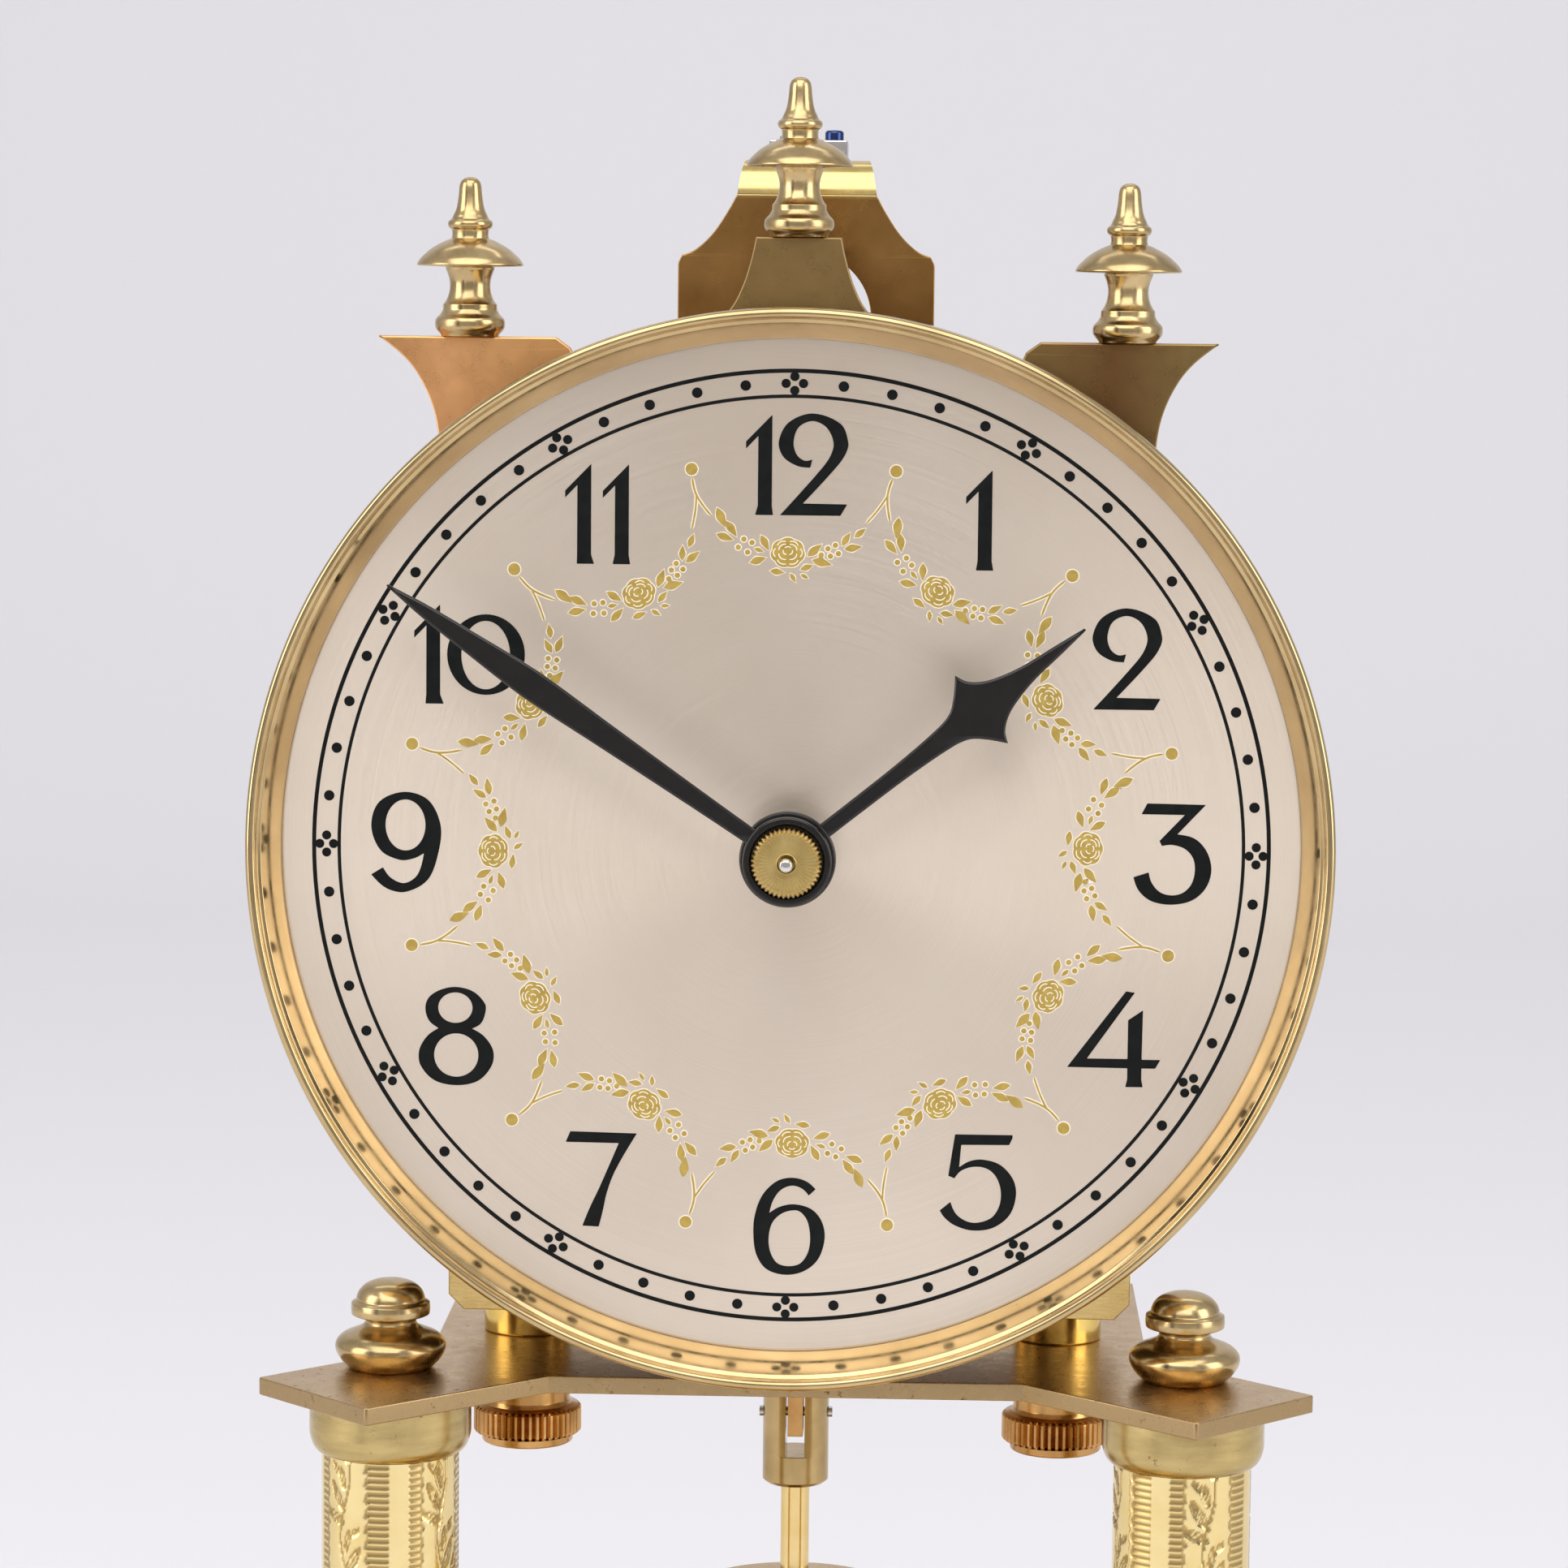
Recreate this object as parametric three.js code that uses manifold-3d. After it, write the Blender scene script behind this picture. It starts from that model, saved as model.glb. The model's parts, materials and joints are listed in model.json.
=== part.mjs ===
// Mantel clock of the torsion-pendulum (400-day) kind: round base, two pillars,
// platform, plated movement, silvered dial with bezel, three crest finials.
// Millimetres. X to the right, Y to the back (the dial faces -Y), Z up.
// Origin: centre of the base, on the surface that the levelling screws stand on.
import * as THREE from 'three';
import { mergeVertices } from 'three/addons/utils/BufferGeometryUtils.js';
import Module from 'manifold-3d';

const wasm = await Module();
wasm.setup();

// ---------------------------------------------------------------- dimensions
const BASE_R = 92, BASE_TOP = 30;               // turned base
const DOME_SEAT_R0 = 82, DOME_SEAT_R1 = 87.3, DOME_SEAT_Z = 11.5;
const SCREW_RING_R = 83.5, SCREW_R = 7;          // levelling screws
const PILLAR_X = 38.7, PILLAR_Y = -36.5, PILLAR_R = 6.7, CAP_R = 7.9, CAP_H = 6.5;
const PLATFORM_Z0 = 134.1, PLATFORM_Z1 = 135.8;
const DIAL_Z = 187.8, DIAL_Y = -42, DIAL_R = 50, DIAL_T = 1;
const BEZEL_R = 51.5, BEZEL_FRONT = -47.1, BEZEL_BACK = -40.5;
const FRONT_PLATE = [-32, -30], BACK_PLATE = [-9, -7];
const PLATE_X = 33.5, PLATE_LO = -47.2, PLATE_HI = 38;   // heights from the dial centre
const POST_LO = [26.8, -42.8], POST_HI = [27, 32], POST_R = 3;
const STUD_X = 26.8, STUD_Y = -18;               // platform to movement studs
const FINIAL_X = 31.6, FINIAL_Z = 48.3, FINIAL_TOP_Z = 58.1;
const MINUTE_ANGLE = -55.9, HOUR_ANGLE = 51.4;   // degrees clockwise from twelve
const PENDULUM_BALL_R = 10.5, PENDULUM_ARM = 27, BALL_Z = 62;

// train: position (x, height from the dial centre), teeth, module
const BARREL = [8, -25], SECOND = [-11, -13.37], THIRD = [-12.9, 0.9];
const CENTRE = [0, 0], FOURTH = [7, 8.8], ESCAPE = [0, 16.6], ANCHOR = [0, 28];
const MINUTE_WHEEL = [8.3138, -4.8];
const M_GREAT = 0.55, M_SECOND = 0.4, M_THIRD = 0.38, M_CENTRE = 0.45, M_FOURTH = 0.42;
const M_CANNON = 0.4, M_HOUR = 0.384;

// ---------------------------------------------------------------- helpers
const group = new THREE.Group();
const rad = THREE.MathUtils.degToRad;

function solid(geometry) {
  const raw = geometry.index ? geometry.toNonIndexed() : geometry.clone();
  const only = new THREE.BufferGeometry().setAttribute('position', raw.getAttribute('position'));
  const g = mergeVertices(only, 1e-4);
  const p = g.attributes.position.array, idx = g.index.array, keep = [];
  let vol = 0;
  for (let i = 0; i < idx.length; i += 3) {
    const [a, b, c] = [idx[i], idx[i + 1], idx[i + 2]];
    if (a === b || b === c || a === c) continue;
    keep.push(a, b, c);
    const A = p.subarray(3 * a, 3 * a + 3), B = p.subarray(3 * b, 3 * b + 3), C = p.subarray(3 * c, 3 * c + 3);
    vol += A[0] * (B[1] * C[2] - B[2] * C[1]) - A[1] * (B[0] * C[2] - B[2] * C[0]) + A[2] * (B[0] * C[1] - B[1] * C[0]);
  }
  if (vol < 0) for (let i = 0; i < keep.length; i += 3) [keep[i + 1], keep[i + 2]] = [keep[i + 2], keep[i + 1]];
  return new wasm.Manifold(new wasm.Mesh({
    numProp: 3, vertProperties: new Float32Array(p), triVerts: new Uint32Array(keep),
  }));
}
const join = (...s) => s.reduce((a, b) => a.add(b));
const cut = (a, ...s) => s.reduce((x, b) => x.subtract(b), a);

function add(name, s, color, roughness = 0.35, metalness = 1) {
  const m = s.getMesh(), n = m.numProp, v = new Float32Array(m.numVert * 3);
  for (let i = 0; i < m.numVert; i++) v.set(m.vertProperties.subarray(i * n, i * n + 3), i * 3);
  const g = new THREE.BufferGeometry()
    .setAttribute('position', new THREE.BufferAttribute(v, 3))
    .setIndex(new THREE.BufferAttribute(new Uint32Array(m.triVerts), 1));
  g.computeVertexNormals();
  const mesh = new THREE.Mesh(g, new THREE.MeshStandardMaterial({ color, roughness, metalness }));
  mesh.name = name;
  group.add(mesh);
  return mesh;
}
const shapeOf = (pts) => new THREE.Shape(pts.map(([x, y]) => new THREE.Vector2(x, y)));
const circlePts = (x, y, r, n = 12, a0 = 0) =>
  Array.from({ length: n }, (_, i) => [x + r * Math.cos(a0 + 2 * Math.PI * i / n), y + r * Math.sin(a0 + 2 * Math.PI * i / n)]);
// profile [radius, height] turned about Z (through x, y)
function turnZ(profile, n, x = 0, y = 0, z = 0) {
  const g = new THREE.LatheGeometry(profile.map(([r, h]) => new THREE.Vector2(r, h)), n);
  g.rotateX(Math.PI / 2);
  g.translate(x, y, z);
  return solid(g);
}
// profile [radius, depth] turned about Y (through x and height z from the dial centre)
function turnY(profile, n, x = 0, z = 0) {
  const g = new THREE.LatheGeometry(profile.map(([r, y]) => new THREE.Vector2(r, y)), n);
  g.translate(x, 0, DIAL_Z + z);
  return solid(g);
}
const rodZ = (x, y, r, z0, z1, n = 12) => turnZ([[0, z0], [r, z0], [r, z1], [0, z1]], n, x, y);
const rodY = (x, z, r, y0, y1, n = 12) => turnY([[0, y0], [r, y0], [r, y1], [0, y1]], n, x, z);
const tubeY = (x, z, ri, ro, y0, y1, n = 16) => turnY([[ri, y0], [ro, y0], [ro, y1], [ri, y1], [ri, y0]], n, x, z);
// outline in (x, y) raised along Z
function slabZ(pts, z0, z1) {
  const g = new THREE.ExtrudeGeometry(shapeOf(pts), { depth: z1 - z0, bevelEnabled: false });
  g.translate(0, 0, z0);
  return solid(g);
}
// outline in (x, height from the dial centre) raised along Y
function slabY(pts, y0, y1, holes = []) {
  const s = shapeOf(pts);
  for (const h of holes) s.holes.push(new THREE.Path(h.map(([x, y]) => new THREE.Vector2(x, y))));
  const g = new THREE.ExtrudeGeometry(s, { depth: y1 - y0, bevelEnabled: false });
  g.rotateX(Math.PI / 2);
  g.translate(0, y1, DIAL_Z);
  return solid(g);
}
function boxOf(x0, x1, y0, y1, z0, z1) {
  const g = new THREE.BoxGeometry(x1 - x0, y1 - y0, z1 - z0);
  g.translate((x0 + x1) / 2, (y0 + y1) / 2, (z0 + z1) / 2);
  return solid(g);
}
const rel = (z) => DIAL_Z + z;

// gear outline: narrow, low teeth; phase is the direction (radians) of one tooth's centre
function gearPts([x, z], teeth, m, phase, { addendum = 0.72, dedendum = 0.95, root = false } = {}) {
  const r = teeth * m / 2, ra = r + addendum * m, rf = r - dedendum * m, p = 2 * Math.PI / teeth, out = [];
  for (let i = 0; i < teeth; i++) {
    const a = phase + i * p, ht = 0.075 * p, hr = root ? 0.27 * p : 0.5 * p;
    if (root) out.push([x + rf * Math.cos(a - hr), z + rf * Math.sin(a - hr)]);
    if (root) out.push([x + ra * Math.cos(a - ht), z + ra * Math.sin(a - ht)], [x + ra * Math.cos(a + ht), z + ra * Math.sin(a + ht)]);
    else out.push([x + ra * Math.cos(a), z + ra * Math.sin(a)]);
    out.push([x + rf * Math.cos(a + hr), z + rf * Math.sin(a + hr)]);
  }
  return out;
}
// windows between the crossings of a wheel
function crossings([x, z], r0, r1, spokes, half, a0 = 0) {
  const out = [];
  for (let k = 0; k < spokes; k++) {
    const c = a0 + 2 * Math.PI * (k + 0.5) / spokes, w = Math.PI / spokes;
    const d1 = Math.asin(half / r1), d0 = Math.min(Math.asin(half / r0), w * 0.8), pts = [];
    for (let i = 0; i <= 3; i++) { const a = c - w + d1 + (2 * (w - d1)) * i / 3; pts.push([x + r1 * Math.cos(a), z + r1 * Math.sin(a)]); }
    for (let i = 0; i <= 1; i++) { const a = c + w - d0 - (2 * (w - d0)) * i; pts.push([x + r0 * Math.cos(a), z + r0 * Math.sin(a)]); }
    out.push(pts);
  }
  return out;
}
const dir = ([x0, z0], [x1, z1]) => Math.atan2(z1 - z0, x1 - x0);
// tooth of the driver lies on the line of centres, gap of the driven faces it
const tooth = (from, to) => dir(from, to);
const gap = (from, to, teeth) => dir(from, to) + Math.PI / teeth;
const depth = (u) => FRONT_PLATE[1] + u;
// arbor with a pivot at each end
function arbor([x, z], r, u0 = 0.4, u1 = 20.6, pivot = 0.5) {
  return turnY([[0, depth(-1.5)], [pivot, depth(-1.5)], [pivot, depth(u0)], [r, depth(u0)], [r, depth(u1)], [pivot, depth(u1)], [pivot, depth(22.4)], [0, depth(22.4)]], 8, x, z);
}

const BRASS = 0xb8924a, DARK_BRASS = 0x8a6a3c, STEEL = 0x9a9da0, BLACK = 0x15151a;

// ---------------------------------------------------------------- base
{
  const profile = [[0, 30], [66, 30], [70.5, 28.2], [72, 24], [74, 19.6], [DOME_SEAT_R0, 13.8],
    [DOME_SEAT_R0, DOME_SEAT_Z], [DOME_SEAT_R1, DOME_SEAT_Z], [DOME_SEAT_R1, 13.8], [90, 13.6], [BASE_R, 10.5], [BASE_R, 6.8], [90.8, 6],
    [89.8, 6], [89.8, 10.3], [80.6, 10.3], [72.6, 18.6], [69.5, 26.8], [65.8, 28.8], [0, 28.8]];
  let shell = turnZ(profile, 28);
  const feet = [-90, 30, 150].map((a) => [SCREW_RING_R * Math.cos(rad(a)), SCREW_RING_R * Math.sin(rad(a))]);
  for (const [x, y] of feet) shell = cut(join(shell, rodZ(x, y, 4, 7, 10.8, 10)), rodZ(x, y, 2.15, 5, 10.3, 10));
  for (const s of [-1, 1]) shell = cut(shell, rodZ(s * PILLAR_X, PILLAR_Y, 2, 27, 32, 8));
  add('base_shell', shell, DARK_BRASS, 0.3);
  const names = ['front', 'right', 'left'];
  feet.forEach(([x, y], i) => add('levelling_screw_' + names[i],
    turnZ([[0, 0], [5, 0], [SCREW_R, 0.8], [SCREW_R, 3.4], [1.8, 4], [1.8, 10], [0, 10]], 12, x, y), BRASS, 0.35));
  let weight = turnZ([[8, 22], [62, 22], [62, 28.5], [8, 28.5], [8, 22]], 24);
  for (const s of [-1, 1]) weight = cut(weight, rodZ(s * PILLAR_X, PILLAR_Y, 2, 20, 30, 8));
  add('base_weight', weight, 0x3a3a3c, 0.7);
  add('guide_cup', turnZ([[0, 30], [9, 30], [9, 31.2], [6.4, 32], [5.6, 38], [5.2, 39], [4.4, 39], [4.2, 33], [0, 32.4]], 14), BRASS, 0.3);
}

// ---------------------------------------------------------------- pillars and platform
for (const [side, s] of [['left', -1], ['right', 1]]) {
  const x = s * PILLAR_X, y = PILLAR_Y;
  const lo = BASE_TOP + CAP_H, hi = PLATFORM_Z0 - CAP_H;
  add('pillar_tube_' + side, turnZ([[5.3, lo], [PILLAR_R, lo], [PILLAR_R, hi], [5.3, hi], [5.3, lo]], 24, x, y), 0xe0c070, 0.2);
  const cap = [[2.2, 0], [7, 0], [7.6, 0.6], [CAP_R, 1.6], [CAP_R, CAP_H], [2.2, CAP_H], [2.2, 0]];
  add('pillar_cap_top_' + side, turnZ(cap.map(([r, h]) => [r, hi + h]), 18, x, y), DARK_BRASS, 0.35);
  add('pillar_cap_bottom_' + side, turnZ(cap.map(([r, h]) => [r, lo - h]), 18, x, y), DARK_BRASS, 0.35);
  const hex = slabZ(circlePts(x, y, 4.2, 6), 18.6, 21.7);
  add('pillar_rod_' + side, join(hex, rodZ(x, y, 1.6, 17.5, PLATFORM_Z1 + 4, 8)), STEEL, 0.4);
  const z = PLATFORM_Z1;
  add('pillar_nut_' + side, turnZ([[0, z + 4.3], [1.9, z + 4.3], [1.9, z], [3.9, z], [4.7, z + 0.8], [5.4, z + 2.2], [4.7, z + 3.3], [3.2, z + 4], [2.5, z + 4.5],
    [2.5, z + 4.9], [3.8, z + 5.2], [3.8, z + 6.5], [3.3, z + 6.8], [2.9, z + 7.7], [1.7, z + 8.4], [0, z + 8.7]], 12, x, y), BRASS, 0.25);
}
{
  const half = [[23, -39.7], [39, -54.6], [50.9, -42.2], [35.5, -26.8], [35.5, 9]];
  const slot = []; for (let i = 0; i <= 8; i++) { const a = -Math.PI * i / 8; slot.push([7 * Math.cos(a), -2 + 7 * Math.sin(a)]); }
  const pts = [...half, [7, 9], ...slot, [-7, 9], ...half.map(([x, y]) => [-x, y]).reverse()];
  let p = slabZ(pts, PLATFORM_Z0, PLATFORM_Z1);
  for (const s of [-1, 1]) p = cut(p, rodZ(s * PILLAR_X, PILLAR_Y, 2, 130, 140, 10), rodZ(s * STUD_X, STUD_Y, 1.8, 130, 140, 10));
  add('platform', p, DARK_BRASS, 0.35);
}
for (const [side, s] of [['left', -1], ['right', 1]]) {
  const x = s * STUD_X, y = STUD_Y;
  add('spacer_' + side, turnZ([[1.8, 135.8], [4.4, 135.8], [4.4, 141.7], [1.8, 141.7], [1.8, 135.8]], 14, x, y), BRASS, 0.35);
  add('thumb_screw_' + side, turnZ([[0, 124.3], [4.6, 124.3], [4.6, 125.1], [5.4, 125.4], [5.4, 128], [4.4, 128.4], [4.4, 134.1],
    [1.5, 134.1], [1.5, 144.4], [0, 144.4]], 14, x, y), 0xb07838, 0.3);
}

// ---------------------------------------------------------------- movement frame
const PIVOTS = [SECOND, THIRD, FOURTH, ESCAPE, ANCHOR];
{
  const c = 1.5, X = PLATE_X, plate = [[-X + c, PLATE_LO], [X - c, PLATE_LO], [X, PLATE_LO + c], [X, PLATE_HI - c], [X - c, PLATE_HI], [-X + c, PLATE_HI], [-X, PLATE_HI - c], [-X, PLATE_LO + c]];
  const holes = (small) => PIVOTS.map(([x, z]) => circlePts(x, z, small, 8));
  let front = slabY(plate, ...FRONT_PLATE, [...holes(0.66), circlePts(...CENTRE, 1.3, 12), circlePts(...BARREL, 2.35, 12)]);
  const posts = [[-POST_LO[0], POST_LO[1]], POST_LO, [-POST_HI[0], POST_HI[1]], POST_HI];
  for (const [x, z] of posts) front = join(front, turnY([[0, -31], [POST_R, -31], [POST_R, BACK_PLATE[0]], [1.5, BACK_PLATE[0]], [1.5, -7.5], [0, -7.5]], 10, x, z));
  for (const s of [-1, 1]) front = cut(front, rodZ(s * STUD_X, STUD_Y, 1.75, 140, 145, 8));
  front = join(front, rodY(...MINUTE_WHEEL, 0.75, -37.6, -31, 8));
  add('front_plate', front, BRASS, 0.35);
  let back = slabY(plate, ...BACK_PLATE, [...holes(0.66), circlePts(...CENTRE, 0.66, 8), circlePts(...BARREL, 2.35, 12), ...posts.map(([x, z]) => circlePts(x, z, 1.75, 10))]);
  back = join(back, rodY(20, -19, 0.9, -8, -4.9, 8));
  add('back_plate', back, BRASS, 0.35);
}

// ---------------------------------------------------------------- dial, bezel, crest
{
  let dial = turnY([[2.7, DIAL_Y], [DIAL_R, DIAL_Y], [DIAL_R, DIAL_Y + DIAL_T], [2.7, DIAL_Y + DIAL_T], [2.7, DIAL_Y]], 36);
  for (const [x, z] of [[-23, 20], [23, 20], [0, -30]]) dial = join(dial, rodY(x, z, 1, DIAL_Y + 0.5, -32.3, 6));
  add('dial', dial, 0xcfc4b4, 0.35);
  add('bezel', turnY([[48.5, -42.3], [50.4, -46.5], [50.8, BEZEL_FRONT], [51.3, -47], [BEZEL_R, -46.4], [BEZEL_R, BEZEL_BACK], [50.4, BEZEL_BACK], [50.4, -42.3], [48.5, -42.3]], 36), 0xd8b060, 0.15);
  const left = [[-34.3, 30], [-34.7, 40.2], [-35.7, 43.1], [-37.4, 45.8], [-40.4, 48.3], [-23.3, 48.3], [-21.9, 47.3], [-20.5, 44], [-9, 49.2], [-6.3, 51.3], [-5.2, 53.6], [-4.4, 56.2], [-4.1, 58.1]];
  add('crest_plate', slabY([...left, ...left.map(([x, z]) => [-x, z]).reverse()], -34, -32), 0x7a4a2c, 0.35);
  const prof = [[0, 0], [2.8, 0], [3.3, 1.2], [2.6, 3], [1.95, 4.6], [2.3, 6.4], [5.05, 6.75], [3.1, 8.8], [1.76, 9.8], [2.1, 10.9], [1, 14.4], [0, 15.2]];
  for (const [n, x, z] of [['left', -FINIAL_X, FINIAL_Z], ['centre', 0, FINIAL_TOP_Z], ['right', FINIAL_X, FINIAL_Z]])
    add('finial_' + n, turnZ(prof, 12, x, -33, rel(z)), BRASS, 0.3);
}

// ---------------------------------------------------------------- hands and motion work
const spin = (pts, deg) => { const a = -rad(deg), c = Math.cos(a), s = Math.sin(a); return pts.map(([x, z]) => [x * c - z * s, x * s + z * c]); };
{
  const mhalf = [[0.78, 3.6], [0.95, 12], [1.4, 29], [0.7, 41], [0.12, 45]];
  const minute = spin([...mhalf, ...mhalf.map(([x, z]) => [-x, z]).reverse()], MINUTE_ANGLE);
  let mh = slabY(minute, -51.6, -51);
  mh = join(mh, rodY(0, 0, 4.2, -51.9, -50.9, 16));
  add('minute_hand', cut(mh, rodY(0, 0, 1.75, -55, -48, 10)), BLACK, 0.25, 0.2);
  const hhalf = [[0.76, 3.8], [0.76, 9.9], [1.22, 19.6], [2.3, 21.4], [4, 23], [2.6, 24], [1.4, 26], [0.84, 28.3], [0.1, 35]];
  const hour = spin([...hhalf, ...hhalf.map(([x, z]) => [-x, z]).reverse()], HOUR_ANGLE);
  let hh = slabY(hour, -50, -49.4);
  hh = join(hh, rodY(0, 0, 4.55, -50.1, -49.2, 16));
  add('hour_hand', cut(hh, rodY(0, 0, 2.55, -55, -46, 10)), BLACK, 0.25, 0.2);
  add('hand_nut', tubeY(0, 0, 0.85, 3.15, -53.6, -52.1, 16), BRASS, 0.3);
  const cannon = gearPts(CENTRE, 12, M_CANNON, tooth(CENTRE, MINUTE_WHEEL), { root: true });
  add('cannon_pinion', cut(join(rodY(0, 0, 1.5, -51.95, -33, 10), slabY(cannon, -34.7, -33.2)), rodY(0, 0, 1.15, -60, -30, 10)), STEEL, 0.4);
  const mw = slabY(gearPts(MINUTE_WHEEL, 36, M_CANNON, gap(MINUTE_WHEEL, CENTRE, 36)), -34.5, -33.5, [circlePts(...MINUTE_WHEEL, 0.95, 12)]);
  const mp = slabY(gearPts(MINUTE_WHEEL, 10, M_HOUR, tooth(MINUTE_WHEEL, CENTRE), { root: true }), -37.2, -34.4, [circlePts(...MINUTE_WHEEL, 0.95, 12)]);
  add('minute_wheel', join(mw, mp), BRASS, 0.35);
  const hw = slabY(gearPts(CENTRE, 40, M_HOUR, gap(CENTRE, MINUTE_WHEEL, 40)), -37, -36, [circlePts(0, 0, 1.85, 10)]);
  add('hour_wheel', join(hw, tubeY(0, 0, 1.85, 2.3, -50.8, -36.5, 10)), BRASS, 0.35);
}

// ---------------------------------------------------------------- train
{
  const c = join(arbor(CENTRE, 1), rodY(0, 0, 1, -51.9, -29, 8), rodY(0, 0, 0.65, -55, -51.8, 8),
    slabY(gearPts(CENTRE, 8, M_THIRD, gap(CENTRE, THIRD, 8), { root: true }), depth(8.5), depth(11)),
    slabY(gearPts(CENTRE, 40, M_CENTRE, tooth(CENTRE, FOURTH)), depth(19), depth(20.2), crossings(CENTRE, 2.6, 7.2, 5, 0.6)));
  add('centre_wheel', c, BRASS, 0.35);
  add('third_wheel', join(arbor(THIRD, 0.9),
    slabY(gearPts(THIRD, 8, M_SECOND, gap(THIRD, SECOND, 8), { root: true }), depth(0.8), depth(3)),
    slabY(gearPts(THIRD, 60, M_THIRD, tooth(THIRD, CENTRE)), depth(9), depth(10.2), crossings(THIRD, 2.6, 9.6, 5, 0.6))), BRASS, 0.35);
  add('second_wheel', join(arbor(SECOND, 1.1),
    slabY(gearPts(SECOND, 9, M_GREAT, gap(SECOND, BARREL, 9), { root: true }), depth(4), depth(7)),
    slabY(gearPts(SECOND, 64, M_SECOND, tooth(SECOND, THIRD)), depth(1.2), depth(2.4), crossings(SECOND, 3, 10.8, 5, 0.7))), BRASS, 0.35);
  let barrel = join(slabY(gearPts(BARREL, 72, M_GREAT, tooth(BARREL, SECOND)), depth(4.5), depth(6.5)), rodY(...BARREL, 18, depth(6.4), depth(18), 24));
  barrel = cut(barrel, rodY(...BARREL, 16.8, depth(7), depth(17.2), 20), rodY(...BARREL, 3, depth(0), depth(20), 12));
  add('barrel', barrel, BRASS, 0.35);
  const spiral = [], back = [], turns = 4, steps = 48, t = 0.5;
  for (let i = 0; i <= steps; i++) {
    const a = 2 * Math.PI * turns * i / steps, r = 4 + (15.6 - 4) * i / steps;
    spiral.push([BARREL[0] + (r + t) * Math.cos(a), BARREL[1] + (r + t) * Math.sin(a)]);
    back.push([BARREL[0] + r * Math.cos(a), BARREL[1] + r * Math.sin(a)]);
  }
  add('mainspring', slabY([...spiral, ...back.reverse()], depth(7.4), depth(16.8)), 0x5a6068, 0.35);
  const ratchet = []; for (let i = 0; i < 20; i++) { const a = 2 * Math.PI * i / 20, b = a + 2 * Math.PI * 0.95 / 20;
    ratchet.push([BARREL[0] + 6.1 * Math.cos(a), BARREL[1] + 6.1 * Math.sin(a)], [BARREL[0] + 7 * Math.cos(b), BARREL[1] + 7 * Math.sin(b)]); }
  const q = 1.7, [bx, bz] = BARREL;
  add('winding_arbor', join(turnY([[0, depth(-1.7)], [2.1, depth(-1.7)], [2.1, depth(0.5)], [2.65, depth(0.5)], [2.65, depth(20.5)], [2.1, depth(20.5)], [2.1, -5], [0, -5]], 12, bx, bz),
    slabY(ratchet, -6.6, -5.4), slabY([[bx - q, bz - q], [bx + q, bz - q], [bx + q, bz + q], [bx - q, bz + q]], -5.5, 3)), STEEL, 0.35);
  add('fourth_wheel', join(arbor(FOURTH, 0.8),
    slabY(gearPts(FOURTH, 10, M_CENTRE, gap(FOURTH, CENTRE, 10), { root: true }), depth(18.5), depth(20.5)),
    slabY(gearPts(FOURTH, 40, M_FOURTH, tooth(FOURTH, ESCAPE)), depth(13), depth(14.2), crossings(FOURTH, 2.2, 6.7, 4, 0.5))), BRASS, 0.35);
  const esc = []; for (let i = 0; i < 15; i++) { const p = 2 * Math.PI / 15, a = i * p;
    esc.push([ESCAPE[0] + 6.1 * Math.cos(a), ESCAPE[1] + 6.1 * Math.sin(a)], [ESCAPE[0] + 7.8 * Math.cos(a + 0.42 * p), ESCAPE[1] + 7.8 * Math.sin(a + 0.42 * p)],
      [ESCAPE[0] + 7.75 * Math.cos(a + 0.5 * p), ESCAPE[1] + 7.75 * Math.sin(a + 0.5 * p)], [ESCAPE[0] + 6.1 * Math.cos(a + 0.62 * p), ESCAPE[1] + 6.1 * Math.sin(a + 0.62 * p)]); }
  add('escape_wheel', join(arbor(ESCAPE, 0.8),
    slabY(gearPts(ESCAPE, 10, M_FOURTH, gap(ESCAPE, FOURTH, 10), { root: true }), depth(12.5), depth(15)),
    slabY(esc, depth(5), depth(6.2), crossings(ESCAPE, 2, 5, 4, 0.45))), BRASS, 0.35);
  const arm = [[-1.2, 26.6], [-6.6, 22.4], [-7.0, 21.45], [-7.9, 21.9], [-7.7, 23.6], [-5.2, 26.6], [-1.6, 29.6], [1.6, 29.6], [5.2, 26.6], [7.7, 23.6], [7.9, 21.9], [7.0, 21.45], [6.6, 22.4], [1.2, 26.6]];
  add('anchor', join(arbor(ANCHOR, 0.8), slabY(arm, depth(4.8), depth(6.4)), rodZ(0, -12, 0.35, rel(28), rel(52.7), 8)), STEEL, 0.35);
  // click on its screw, and its spring
  const cx = 20, cz = -19, a = Math.atan2(bz - cz, bx - cx), L = Math.hypot(bz - cz, bx - cx) - 7.3;
  const along = (d, w) => [cx + d * Math.cos(a) - w * Math.sin(a), cz + d * Math.sin(a) + w * Math.cos(a)];
  add('click', slabY([along(L, -0.25), along(L, 0.25), along(2, 1.3), along(0.6, 2), along(-1.6, 1.6), along(-2.4, 0.4), along(-2.4, -0.6), along(-1.2, -1.8), along(0.6, -2), along(2, -1.2)], -6.5, -5.4,
    [circlePts(cx, cz, 1.12, 12)]), STEEL, 0.35);
  const wire = []; const inner = []; for (let i = 0; i <= 8; i++) { const k = i / 8, x = 28.5 - 3 * k * k, z = -33 + 14.5 * k; wire.push([x + 0.25, z]); inner.push([x - 0.25, z]); }
  add('click_spring', join(rodY(28.5, -33.5, 1.6, -7, -5.6, 10), slabY([...wire, ...inner.reverse()], -6.6, -5.8)), STEEL, 0.3);
}

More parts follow.
